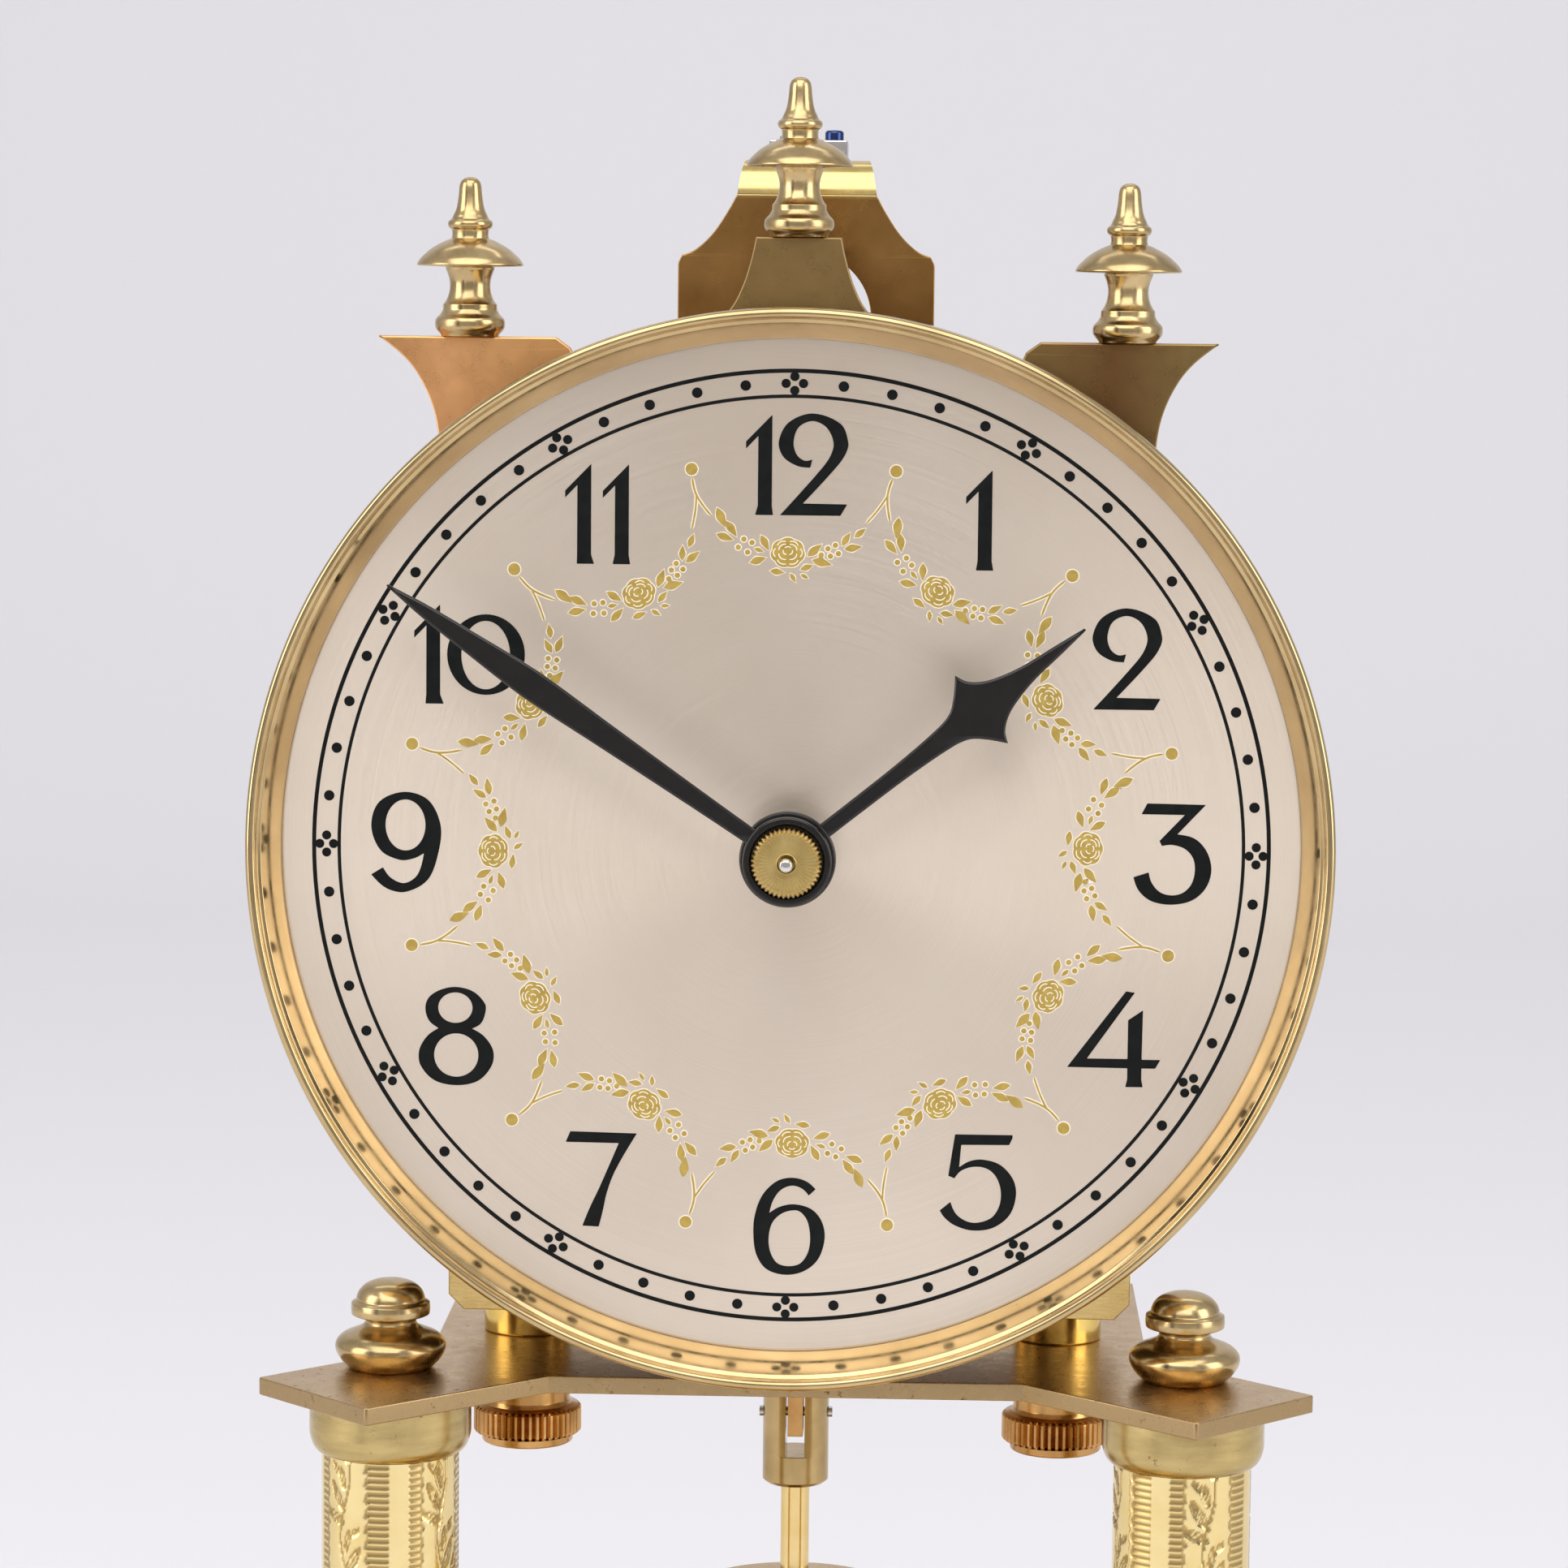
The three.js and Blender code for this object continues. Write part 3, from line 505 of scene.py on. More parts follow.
def flat_material(name, c1, c2, metallic, r0, r1, coat=0.0, scale=600, spec=None):
    m, nt, b = material(name, metallic=metallic, coat=coat, spec=spec)
    vec = coords(nt)
    nt.links.new(ramp(nt, noise(nt, scale, 4, 0.6, vec), [(0.3, c1), (0.7, c2)]), b.inputs["Base Color"])
    nt.links.new(span(nt, noise(nt, scale * 2, 5, 0.6, vec), 0.3, 0.7, r0, r1), b.inputs["Roughness"])
    return m


NUTM = metal("brass_nut", (0.50, 0.35, 0.12), (0.64, 0.48, 0.19), 0.26, 0.40, scale=420, spots=(0.20, 0.12, 0.05), spot_at=0.64)
CREST = crest_material()
DIALM = dial_material()
ENGR = engraved_material()
INK = flat_material("dial_ink", (0.003, 0.0035, 0.0035), (0.006, 0.007, 0.007), 0.0, 0.34, 0.48, spec=0.15)
GOLD = flat_material("dial_gilt", (0.44, 0.30, 0.065), (0.56, 0.40, 0.10), 0.55, 0.34, 0.46, scale=900)
# painted highlight: a pale tone standing in for the light caught by the engraved cut edges of the garland
CUT_GLINT = flat_material("dial_cut_edge_painted_highlight", (0.84, 0.76, 0.60), (0.90, 0.82, 0.68), 0.15, 0.35, 0.45)
BLACK = flat_material("hand_black", (0.004, 0.0035, 0.0035), (0.008, 0.0065, 0.006), 0.0, 0.13, 0.22, coat=0.15, spec=0.38)

# ------------------------------------------------------------------ CAD nodes kept as they are

KEEP = {
    "dial": DIALM, "front_plate": PLATE, "back_plate": PLATE, "base_weight": IRON, "mainspring": SPRING,
    "click_spring": SPRING, "suspension_spring": NICKEL, "suspension_bottom_block": COPPER, "cannon_pinion": STEEL,
    "winding_arbor": STEEL, "anchor": STEEL, "click": STEEL, "suspension_fork": POL, "pillar_rod_left": STEEL,
    "pillar_rod_right": STEEL,
}
for name, ob in frame["nodes"].items():
    ob.data.materials.clear()
    ob.data.materials.append(KEEP.get(name, WHEEL))
for name, w in (("front_plate", 0.12), ("back_plate", 0.12), ("suspension_fork", 0.1), ("suspension_bottom_block", 0.08), ("barrel", 0.1)):
    ob = frame["nodes"][name]
    weld = ob.modifiers.new("weld", "WELD")
    weld.merge_threshold = 1e-6
    bv = ob.modifiers.new("round", "BEVEL")
    bv.width = w * S
    bv.segments = 2
    bv.limit_method = "ANGLE"
    bv.angle_limit = math.radians(50)
    bv.harden_normals = True

# ------------------------------------------------------------------ dial graphics

Y0 = -42.0
GLYPH = 1 / 41.4
CENTRES = {12: (0.28, 36.62), 1: (17.75, 31.61), 2: (31.76, 18.56), 3: (36.32, 0.13), 4: (31.23, -17.73), 5: (18.51, -31.84),
           6: (0.26, -36.33), 7: (-17.8, -32.19), 8: (-31.76, -18.37), 9: (-36.72, 0.28), 10: (-30.64, 18.31), 11: (-18.51, 31.8)}


def g(*pts):
    """Glyph outline: a negative first number marks a smooth point, the rest are corners."""
    return [(-x, y) if x < 0 else (x, y, "c") for x, y in pts]


def one(flag, base0, base1):
    return g((flag, 178), (flag, 150), (flag + 102, 45), (flag + 103, 400), (base1, 437), (base0, 437), (flag + 48, 400), (flag + 48, 128))


TWO = g((300, 218), (-268, 222), (-238, 198), (-226, 150), (-246, 92), (-300, 68), (-354, 92), (-382, 150), (-372, 200), (-335, 255), (175, 437),
        (412, 437), (438, 392), (265, 390), (-400, 240), (-432, 190), (-440, 150), (-410, 78), (-300, 38), (-205, 75), (-168, 150), (-186, 208), (-240, 243), (292, 250))
THREE = g((140, 42), (370, 45), (260, 163), (-330, 180), (-378, 232), (-396, 305), (-375, 375), (-320, 425), (-238, 442), (-160, 428), (-112, 388), (90, 335),
          (150, 315), (-162, 355), (-194, 392), (-238, 405), (-284, 395), (-318, 360), (-331, 305), (-322, 255), (-290, 220), (-240, 205), (200, 210),
          (190, 190), (288, 86), (118, 85))
FOUR = g((280, 50), (315, 55), (130, 320), (290, 320), (290, 165), (348, 125), (346, 322), (420, 322), (400, 357), (346, 357), (346, 402), (352, 432),
         (283, 432), (290, 402), (290, 357), (52, 355))
FIVE = g((140, 48), (368, 48), (368, 60), (355, 88), (165, 90), (158, 180), (-200, 155), (-250, 148), (-320, 168), (-372, 225), (-385, 290), (-360, 370),
         (-295, 422), (-215, 434), (-145, 415), (-104, 385), (83, 355), (125, 320), (-148, 368), (-190, 397), (-235, 402), (-290, 380), (-320, 330),
         (-323, 265), (-300, 210), (-262, 182), (-210, 178), (-165, 195), (140, 225), (115, 215))
SIX = g((345, 92), (-306, 60), (-250, 47), (-190, 62), (-134, 118), (-104, 200), (-99, 280), (-112, 360), (-152, 417), (-225, 439), (-300, 424), (-357, 375),
        (-383, 290), (-370, 220), (-328, 172), (-262, 154), (-205, 164), (162, 190), (-177, 138), (-207, 97), (-250, 79), (-290, 90), (318, 118))
SIX_HOLE = [(265, 178), (215, 190), (175, 228), (160, 290), (168, 350), (195, 392), (238, 404), (285, 393), (316, 350), (325, 290), (315, 225), (292, 190)]
SEVEN = g((115, 45), (380, 50), (-295, 200), (-262, 290), (-245, 370), (230, 428), (165, 425), (-195, 350), (-232, 270), (308, 90), (97, 88))
EIGHT = g((-235, 45), (-305, 63), (-352, 112), (-352, 150), (-335, 190), (300, 211), (-350, 243), (-385, 300), (-378, 360), (-325, 420), (-238, 439), (-150, 420),
          (-95, 360), (-90, 300), (-122, 243), (167, 211), (-128, 180), (-114, 130), (-128, 88), (-172, 58))
NINE = g((-235, 42), (-330, 74), (-378, 172), (-370, 280), (-328, 390), (-240, 440), (-165, 427), (103, 372), (150, 343), (-182, 385), (-235, 405), (-286, 372),
         (312, 285), (-272, 306), (-218, 313), (-140, 275), (-103, 178), (-135, 82))


def glyphs(n):
    if n == 1:
        return [one(180, 222, 290)], []
    if n == 11:
        return [one(110, 157, 225), one(258, 298, 367)], []
    if n == 12:
        return [one(40, 78, 148), TWO], []
    if n == 2:
        return [[(p[0] - 65, *p[1:]) for p in TWO]], []
    if n == 10:
        return [one(20, 65, 137)], [ellipse(303.5, 241, 153.5, 159), ellipse(302.5, 243, 96, 135)]
    if n == 6:
        return [SIX], [path(SIX_HOLE)]
    if n == 8:
        return [EIGHT], [ellipse(233.5, 128, 68, 61), ellipse(237.5, 318, 88, 87)]
    if n == 9:
        return [NINE], [ellipse(239, 173.5, 79, 101.5)]
    return [{3: THREE, 4: FOUR, 5: FIVE, 7: SEVEN}[n]], []


loops = []
for n, (cx, cz) in CENTRES.items():
    outlines, extra = glyphs(n)
    for l in [path(o, r=3.0, per=6) for o in outlines] + extra:
        loops.append([(cx + (u - 240) * GLYPH, cz - (v - 240) * GLYPH) for u, v in l])
plate("dial_numerals", loops, INK, Y0 - 0.045, Y0 + 0.01, bevel=0.02, res=0, slot="hand_black")

loops = [circle(0, 0, 45.5 + 0.195, 240), circle(0, 0, 45.5 - 0.195, 240), circle(0, 0, 43.1 + 0.165, 240), circle(0, 0, 43.1 - 0.165, 240)]
plate("dial_track_lines", loops, INK, Y0 - 0.04, Y0 + 0.01, bevel=0.015, res=0, slot="hand_black")
loops = []
for k in range(60):
    a = math.radians(6 * k)
    er, et = (math.sin(a), math.cos(a)), (math.cos(a), -math.sin(a))
    if k % 5:
        loops.append(circle(44.3 * er[0], 44.3 * er[1], 0.50, 24))
    else:
        for dt, dr in ((0.82, 0), (-0.82, 0), (0, 0.66), (0, -0.66)):
            loops.append(circle((44.3 + dr) * er[0] + dt * et[0], (44.3 + dr) * er[1] + dt * et[1], 0.44, 20))
plate("dial_minute_dots", loops, INK, Y0 - 0.05, Y0 + 0.01, bevel=0.02, res=0, slot="hand_black")

SWAG_LEAVES = [(-7.25, 32.51, -6.45, 30.63), (-6.38, 31.26, -5.34, 29.78), (-7.28, 30.02, -5.65, 29.46), (-3.69, 28.7, -2.77, 28.39), (-3.07, 29.96, -2.27, 28.48),
               (-4.11, 27.32, -2.5, 27.84), (-2.17, 26.59, -0.75, 26.42), (-0.25, 26.38, 0.3, 25.5), (0.73, 26.3, 1.5, 25.9), (0.7, 26.72, 1.95, 27.2),
               (1.36, 28.0, 2.74, 29.17), (1.81, 27.66, 3.7, 27.21), (4.62, 29.03, 5.4, 30.3), (4.86, 28.72, 6.51, 28.98), (5.79, 29.83, 6.88, 30.71)]
SWAG_BERRIES = [(-4.68, 29.56), (-5.21, 28.79), (-3.9, 29.24), (-4.31, 28.33), (3.29, 28.75), (4.0, 29.07), (3.54, 28.04), (4.29, 28.29), (2.67, 28.14)]
SWAG_TWIGS = [[(-9.62, 35.3), (-9.15, 33.58), (-7.75, 31.71)], [(-9.2, 33.75), (-9.3, 32.2), (-9.62, 30.43)]]


def leaf(x0, z0, x1, z1, w=0.21, grow=0.0):
    dx, dz = x1 - x0, z1 - z0
    L = math.hypot(dx, dz)
    ux, uz = dx / L, dz / L
    pts = []
    for t, h in ((-grow / L, 0), (0.22, 0.75), (0.45, 1), (0.72, 0.62)):
        pts.append((t, h))
    side = [(t, h * (w * L + grow)) for t, h in pts]
    ring = side + [(1 + grow / L, 0)] + [(t, -h) for t, h in side[:0:-1]]
    marked = [(x0 + ux * L * t - uz * h, z0 + uz * L * t + ux * h, *(("c",) if h == 0 else ())) for t, h in ring]
    return path(marked, per=3)


def stroke(pts, w):
    """A thin line of width w along the points, tapered at both ends."""
    P = path(pts, per=6, closed=False)
    l, r = [], []
    for i, p in enumerate(P):
        q0, q1 = P[max(0, i - 1)], P[min(len(P) - 1, i + 1)]
        L = math.dist(q0, q1) or 1e-9
        nx, nz = -(q1[1] - q0[1]) / L, (q1[0] - q0[0]) / L
        k = w / 2 * (0.45 if i in (0, len(P) - 1) else 1)
        l.append((p[0] + nx * k, p[1] + nz * k))
        r.append((p[0] - nx * k, p[1] - nz * k))
    return l + r[::-1]


def rose(cx, cz, grow=0.0):
    """The outline of an open rose with seven soft lobes."""
    pts = []
    for i in range(84):
        a = 2 * math.pi * i / 84
        r = 1.50 + 0.13 * abs(math.cos(3.5 * (a - math.pi / 2))) + grow
        pts.append((cx + r * math.cos(a), cz + 0.12 + 0.88 * r * math.sin(a)))
    return pts


def rose_lines(cx, cz):
    """The cut lines between the petals of the rose, as separate thin strokes."""
    out = []
    for r, n, half, lift, ph in ((0.42, 3, 42, 0.30, 90), (0.86, 4, 34, 0.20, 45), (1.24, 6, 22, 0.12, 60)):
        for k in range(n):
            c = ph + 360 * k / n
            arc = [(cx + r * math.cos(math.radians(c + t * half)) * (1.0 + 0.10 * (1 - t * t)), cz + lift + 0.86 * r * math.sin(math.radians(c + t * half)) * (1.0 + 0.10 * (1 - t * t))) for t in (-1, -0.5, 0, 0.5, 1)]
            out.append(stroke(arc, 0.10))
    return out


def swag(grow):
    ls = [leaf(*l, grow=grow) for l in SWAG_LEAVES]
    ls += [circle(x, z, 0.26 + grow, 12) for x, z in SWAG_BERRIES]
    return ls, [stroke(SWAG_TWIGS[0], 0.20 + 2 * grow), rose(-0.5, 28.2, grow)], [stroke(SWAG_TWIGS[1], 0.18 + 2 * grow)]


def turn(l, a):
    c, s = math.cos(a), math.sin(a)
    return [(x * c + z * s, -x * s + z * c) for x, z in l]


# the first layer is a slightly larger pale outline under the gilt garland, a painted highlight on the engraved cut
# edges
for nm, grow, y_out, mat in (("dial_garland_edge", 0.10, 0.012, CUT_GLINT), ("dial_garland", 0.0, 0.028, GOLD)):
    parts = []
    for layer, pick in enumerate(swag(grow)):
        loops = []
        for k in range(12):
            loops += [turn(l, math.radians(30 * k)) for l in pick]
            if layer == 0:
                a = math.radians(30 * k + 15)
                loops.append(circle(37.4 * math.sin(a), 37.4 * math.cos(a), 0.58 + grow, 20))
        parts.append(plate_mesh(loops, Y0 - y_out - 0.003 * layer, Y0 + 0.01, bevel=0.008, res=0))
    if mat is CUT_GLINT:
        # the petal cut lines are drawn in the same pale painted-highlight tone over the gilt
        loops = []
        for k in range(12):
            loops += [turn(l, math.radians(30 * k)) for l in rose_lines(-0.5, 28.2)]
        parts.append(plate_mesh(loops, Y0 - 0.042, Y0 - 0.02, bevel=0.006, res=0))
    put(join_meshes(parts), nm, mat, slot="brass", weighted=False)

# ------------------------------------------------------------------ bezel

bz = path([(48.5, -42.35, "c"), (48.62, -42.75, "c"), (50.05, -46.0, "c"), (50.42, -46.15, "c"), (50.44, -46.6), (50.62, -47.0), (50.9, -47.12), (51.2, -47.05), (51.42, -46.8),
           (51.5, -46.4, "c"), (51.5, -45.7, "c"), (51.42, -45.6, "c"), (51.5, -45.5, "c"), (51.5, -40.7, "c"), (51.3, -40.5, "c"), (50.4, -40.5, "c"), (50.4, -42.1, "c"), (48.6, -42.2, "c"), (48.5, -42.35, "c")],
          r=0.06, per=4, closed=False)
lathe("bezel_ring", bz, BEZM, n=288, axis="y", nodes=("bezel",), slot="bezel_brass", sharp=55)

# ------------------------------------------------------------------ crest and finials

left = [(-34.3, 30, "c"), (-34.35, 36), (-34.75, 40.2), (-35.75, 43.2), (-37.5, 45.9), (-40.4, 48.3, "c"), (-23.3, 48.3, "c"), (-21.9, 47.3, "c"), (-20.5, 44, "c"),
        (-12.5, 46.3, "c"), (-9, 49.2), (-6.6, 51.1), (-5.35, 53.4), (-4.55, 56.0), (-4.1, 58.1, "c")]
crest = path(left + [(-p[0], *p[1:]) for p in left[::-1]], r=0.12, per=6)
plate("crest", [crest], CREST, -34, -32, bevel=0.16, nodes=("crest_plate",), slot="copper_brass")

FIN = [(0, 0), (2.72, 0, "c"), (2.86, .24), (3.27, .7), (3.36, 1.2), (3.28, 1.65), (2.87, 2.1), (2.62, 2.55, "c"), (2.60, 2.75, "c"), (2.60, 3.05, "c"), (2.36, 3.35), (2.14, 3.8), (1.98, 4.4), (1.94, 5.0),
       (2.02, 5.55), (2.2, 6.1), (2.33, 6.4, "c"), (2.36, 6.62, "c"), (5.0, 6.72, "c"), (5.13, 6.84, "c"), (5.05, 7.02, "c"), (4.80, 7.4), (4.41, 7.8), (3.84, 8.3), (3.15, 8.74), (2.24, 9.2, "c"), (1.80, 9.35, "c"),
       (1.74, 9.7), (1.78, 10.2, "c"), (2.04, 10.4), (2.15, 10.72), (2.06, 11.02, "c"), (1.78, 11.25), (1.62, 11.6), (1.43, 12), (1.28, 12.5), (1.13, 13.5), (1.04, 14.4), (.86, 14.85), (.45, 15.14), (0, 15.2)]
for nm, x, z in (("left", -31.6, 48.3), ("centre", 0, 58.1), ("right", 31.6, 48.3)):
    prof = [(r, DZ + z + h) for r, h in path(FIN, r=0.07, per=4, closed=False)]
    lathe("finial_turned_" + nm, prof, PALE, n=72, cx=x, cy=-33, nodes=("finial_" + nm,), slot="brass", sharp=50)

# ------------------------------------------------------------------ hands


def rotated(pts, deg):
    a = -math.radians(deg)
    c, s = math.cos(a), math.sin(a)
    return [(x * c - z * s, x * s + z * c) for x, z in pts]


def hand(name, half, r_hub, r_hole, y0, y1, hub, deg, body, nodes):
    """A flat pointer with a raised, softly ridged face and a stepped collar at its centre."""
    loop = path(half + [(-p[0], *p[1:]) for p in half[::-1]], per=7)
    me = plate_mesh([rotated(loop, deg)], y0, y1, bevel=0.27, res=4)
    v, f = lathe_data(path(hub, r=0.08, per=4, closed=False), 96, "y")
    return put(join_meshes([me, mesh(v, f)]), name, BLACK, body=body, slot="hand_black", nodes=nodes)


MIN = [(0.78, 3.4, "c"), (0.86, 8), (0.98, 13), (1.20, 21), (1.42, 28.5), (1.28, 32), (0.98, 36.5), (0.64, 41), (0.30, 43.8), (0.10, 45.3, "c")]
hub = hard([(1.8, -50.95), (4.2, -50.95), (4.2, -51.75), (4.05, -51.9), (3.55, -51.9), (3.42, -51.78), (3.42, -51.6), (1.8, -51.6), (1.8, -50.95)])
hand("minute_pointer", MIN, 4.2, 1.8, -51.6, -51.0, hub, -55.9, "minute", ("minute_hand",))
HOUR = [(0.76, 3.6, "c"), (0.76, 8), (0.84, 14), (1.14, 18.8), (1.55, 20.4), (2.5, 21.6), (4.05, 23.0, "c"), (2.85, 23.6), (1.9, 24.9), (1.25, 26.8), (0.84, 28.8), (0.5, 32), (0.12, 35.2, "c")]
hub = hard([(2.6, -49.2), (4.55, -49.2), (4.55, -49.85), (4.4, -50.1), (2.6, -50.1), (2.6, -49.2)])
hand("hour_pointer", HOUR, 4.55, 2.6, -50.0, -49.4, hub, 51.4, "hour", ("hour_hand",))

nut = path(hard([(0.85, -52.1), (3.05, -52.1), (3.18, -52.25), (3.18, -53.2), (2.95, -53.6), (1.0, -53.6), (0.85, -53.5), (0.85, -52.1)]), r=0.05, closed=False)


def fine(i, a):
    r, h = nut[i] if i < len(nut) else (0, 0)
    t = (a * 44 / (2 * math.pi)) % 1.0
    return 0.26 * (0.5 - abs(2 * t - 1)) if r > 2.9 else 0.0


lathe("hand_nut_knurled", nut, NUTM, n=176, axis="y", knurl=fine, body="minute", nodes=("hand_nut",), slot="brass", sharp=50)
rings = []
for r in (1.45, 2.05, 2.6):
    rings.append(lathe_data([(r - 0.09, -53.59), (r, -53.612), (r + 0.09, -53.59)], 64, "y"))
put(mesh(*merge(*rings)), "hand_nut_turning_rings", NUTM, body="minute", slot="brass", weighted=False)
lathe("centre_pin_tip", path([(0.66, -53.2), (0.67, -54.7, "c"), (0.55, -55.0), (0.3, -55.1), (0, -55.12)], r=0.05, closed=False), NICKEL, n=40, axis="y", body="minute", slot="bright_steel")

# ------------------------------------------------------------------ platform, spacers, thumb screws

half = [(23, -39.7), (39, -54.6), (50.9, -42.2), (35.5, -26.8), (35.5, 9), (7, 9)]
slot_pts = [(7 * math.cos(-math.pi * i / 24), -2 + 7 * math.sin(-math.pi * i / 24)) for i in range(25)]
out = path(hard(half), r=0.35, closed=False) + slot_pts + [(-x, y) for x, y in path(hard(half), r=0.35, closed=False)[::-1]]
holes = [circle(s * 38.7, -36.5, 1.9, 24) for s in (-1, 1)] + [circle(s * 26.8, -18, 1.7, 24) for s in (-1, 1)]
plate("platform_plate", [out] + holes, DARK, 134.1, 135.8, plane="z", bevel=0.13, nodes=("platform",), slot="dark_brass")
for side, s in (("left", -1), ("right", 1)):
    x = s * 26.8
    lathe("spacer_turned_" + side, path(hard([(1.8, 135.8), (4.3, 135.8), (4.4, 135.95), (4.4, 141.5), (4.25, 141.7), (1.8, 141.7), (1.8, 135.8)]), r=0.08, closed=False), SPACER, n=64,
          cx=x, cy=-18, nodes=("spacer_" + side,), slot="brass")
    ts = path(hard([(0, 124.3), (4.45, 124.3), (4.6, 124.45), (4.6, 125.1), (5.2, 125.25), (5.45, 125.5), (5.45, 126.3), (5.45, 127.2), (5.45, 127.8), (5.2, 128.05), (4.45, 128.25), (4.3, 128.7),
                    (4.3, 130.6), (4.4, 131.0), (4.4, 134.1), (1.5, 134.1), (1.5, 144.3), (0, 144.3)]), r=0.06, closed=False)
    knurled(ts, 5.15, "thumb_screw_knurled_" + side, COPPER, 46, 0.45, 125.2, 128.1, cx=x, cy=-18, nodes=("thumb_screw_" + side,), slot="copper_brass")

# ------------------------------------------------------------------ pillars


def engraved_tube(name, cx, cy, phase, node):
    """Brass tube R 6.7: four polished strips, and between them a vine panel flanked by two ladders of fine cuts."""
    R, z0, z1 = 6.7, 36.5, 127.6
    nt_, rows = 240, 138 * 3
    th = np.arange(nt_) * (2 * np.pi / nt_)
    zz = z0 + (z1 - z0) * np.arange(rows + 1) / rows
    T, Z = np.meshgrid(th, zz)
    q = np.degrees(T) - phase
    q = (q + 360) % 90.0                    # 0..90 within a field, its polished strip first
    cut = np.zeros_like(T)
    lad1 = (q > 16.5) & (q < 27)
    lad2 = (q > 72) & (q < 90)
    row = np.arange(rows + 1)[:, None] + 0 * T.astype(int)
    groove = (row % 3) != 0
    cut[(lad1 | lad2) & groove] = 1.0
    panel = (q >= 27) & (q <= 72)
    u = (q - 49.5) * math.radians(1) * R       # mm across the panel
    v = Z - z0
    # dotted ground inside the panel edges, scalloped
    scal = 2.38 + 0.16 * np.cos(v * 2 * np.pi / 1.5)
    cut[panel & (np.abs(u) > scal)] = 0.85
    pitch = 12.4
    stem = 0.62 * np.sin(v * 2 * np.pi / pitch)
    cut[panel & (np.abs(u - stem) < 0.13)] = 1.0
    k = int((z1 - z0) / pitch * 2) + 2
    for i in range(k):
        zc = i * pitch / 2
        side = 1 if i % 2 else -1
        for du, dv, L, w, ang in ((0.95, 0.7, 1.75, 0.50, 58), (1.25, -1.3, 1.30, 0.44, 24), (0.30, 2.6, 1.15, 0.36, 78), (1.05, 3.5, 0.95, 0.32, 38)):
            a = math.radians(ang)
            cu, cv = side * du, zc + dv
            pu, pv = (u - cu) * side, v - cv
            along = pu * math.cos(a) + pv * math.sin(a)
            across = -pu * math.sin(a) + pv * math.cos(a)
            e = (along / L)**2 + (across / w)**2
            edge = panel & (e < 1.0) & (e > 0.30)
            vein = panel & (e < 1.0) & (np.abs(across) < 0.09)
            cut[edge | vein] = 1.0
    depth = 0.11
    rr = R - depth * cut
    verts = []
    X, Y = cx + rr * np.cos(T), cy + rr * np.sin(T)
    for j in range(rows + 1):
        verts += list(zip(X[j].tolist(), Y[j].tolist(), Z[j].tolist()))
    faces = []
    for j in range(rows):
        a, b = j * nt_, (j + 1) * nt_
        for i in range(nt_):
            l = (i + 1) % nt_
            faces.append((a + i, a + l, b + l, b + i))
    # inner bore
    o = len(verts)
    for z in (z0, z1):
        verts += [(cx + 5.3 * math.cos(t), cy + 5.3 * math.sin(t), z) for t in th]
    top = rows * nt_
    for i in range(nt_):
        l = (i + 1) % nt_
        faces.append((o + i, o + nt_ + i, o + nt_ + l, o + l))
        faces.append((i, o + i, o + l, l))
        faces.append((top + i, top + l, o + nt_ + l, o + nt_ + i))
    me = mesh(verts, faces)
    at = me.attributes.new("cut", "FLOAT", "POINT")
    at.data.foreach_set("value", np.concatenate([cut.ravel(), np.zeros(2 * nt_)]).astype(np.float32))
    me.materials.append(ENGR)
    me.shade_smooth()
    me.set_sharp_from_angle(angle=math.radians(60))
    ob = bpy.data.objects.new(name, me)
    sc.collection.objects.link(ob)
    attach(ob, "root")
    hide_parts(node)
    return ob


NUT = [(1.7, 0), (3.9, 0, "c"), (4.35, .35), (4.9, .95), (5.28, 1.6), (5.4, 2.2), (5.22, 2.75), (4.7, 3.25), (3.9, 3.62), (3.2, 3.9, "c"), (2.75, 4.15), (2.5, 4.55), (2.6, 4.85), (3.05, 5.08), (3.55, 5.18, "c"),
       (3.82, 5.3, "c"), (3.86, 5.85, "c"), (3.82, 6.42, "c"), (3.45, 6.62, "c"), (3.34, 6.75, "c"), (3.3, 7.05), (3.05, 7.6), (2.5, 8.15), (1.7, 8.52), (0.8, 8.7), (0, 8.74)]
CAP = hard([(2.0, 0.05), (6.75, 0.05), (7.0, 0.12)]) + [(7.35, 0.4), (7.68, 1.0), (7.86, 1.7)] + hard([(7.9, 2.2), (7.9, 6.3), (7.75, 6.5), (2.0, 6.5), (2.0, 0.05)])
for side, s, ph in (("left", -1, 5.5 - 90), ("right", 1, -29 - 90)):
    x, y = s * 38.7, -36.5
    engraved_tube("pillar_engraved_" + side, x, y, ph, "pillar_tube_" + side)
    cp = path(CAP, r=0.07, per=4, closed=False)
    cp[-1] = cp[0]
    lathe("pillar_cap_top_turned_" + side, [(r, 127.6 + h) for r, h in cp], CAPM, n=120, cx=x, cy=y, nodes=("pillar_cap_top_" + side,), slot="dark_brass", sharp=50)
    lathe("pillar_cap_foot_turned_" + side, [(r, 36.5 - h) for r, h in cp], CAPM, n=120, cx=x, cy=y, nodes=("pillar_cap_bottom_" + side,), slot="dark_brass", sharp=50)
    lathe("pillar_nut_turned_" + side, [(r, 135.8 + h) for r, h in path(NUT, r=0.06, per=4, closed=False)], PALE, n=96, cx=x, cy=y, nodes=("pillar_nut_" + side,), slot="brass", sharp=50)

# ------------------------------------------------------------------ suspension

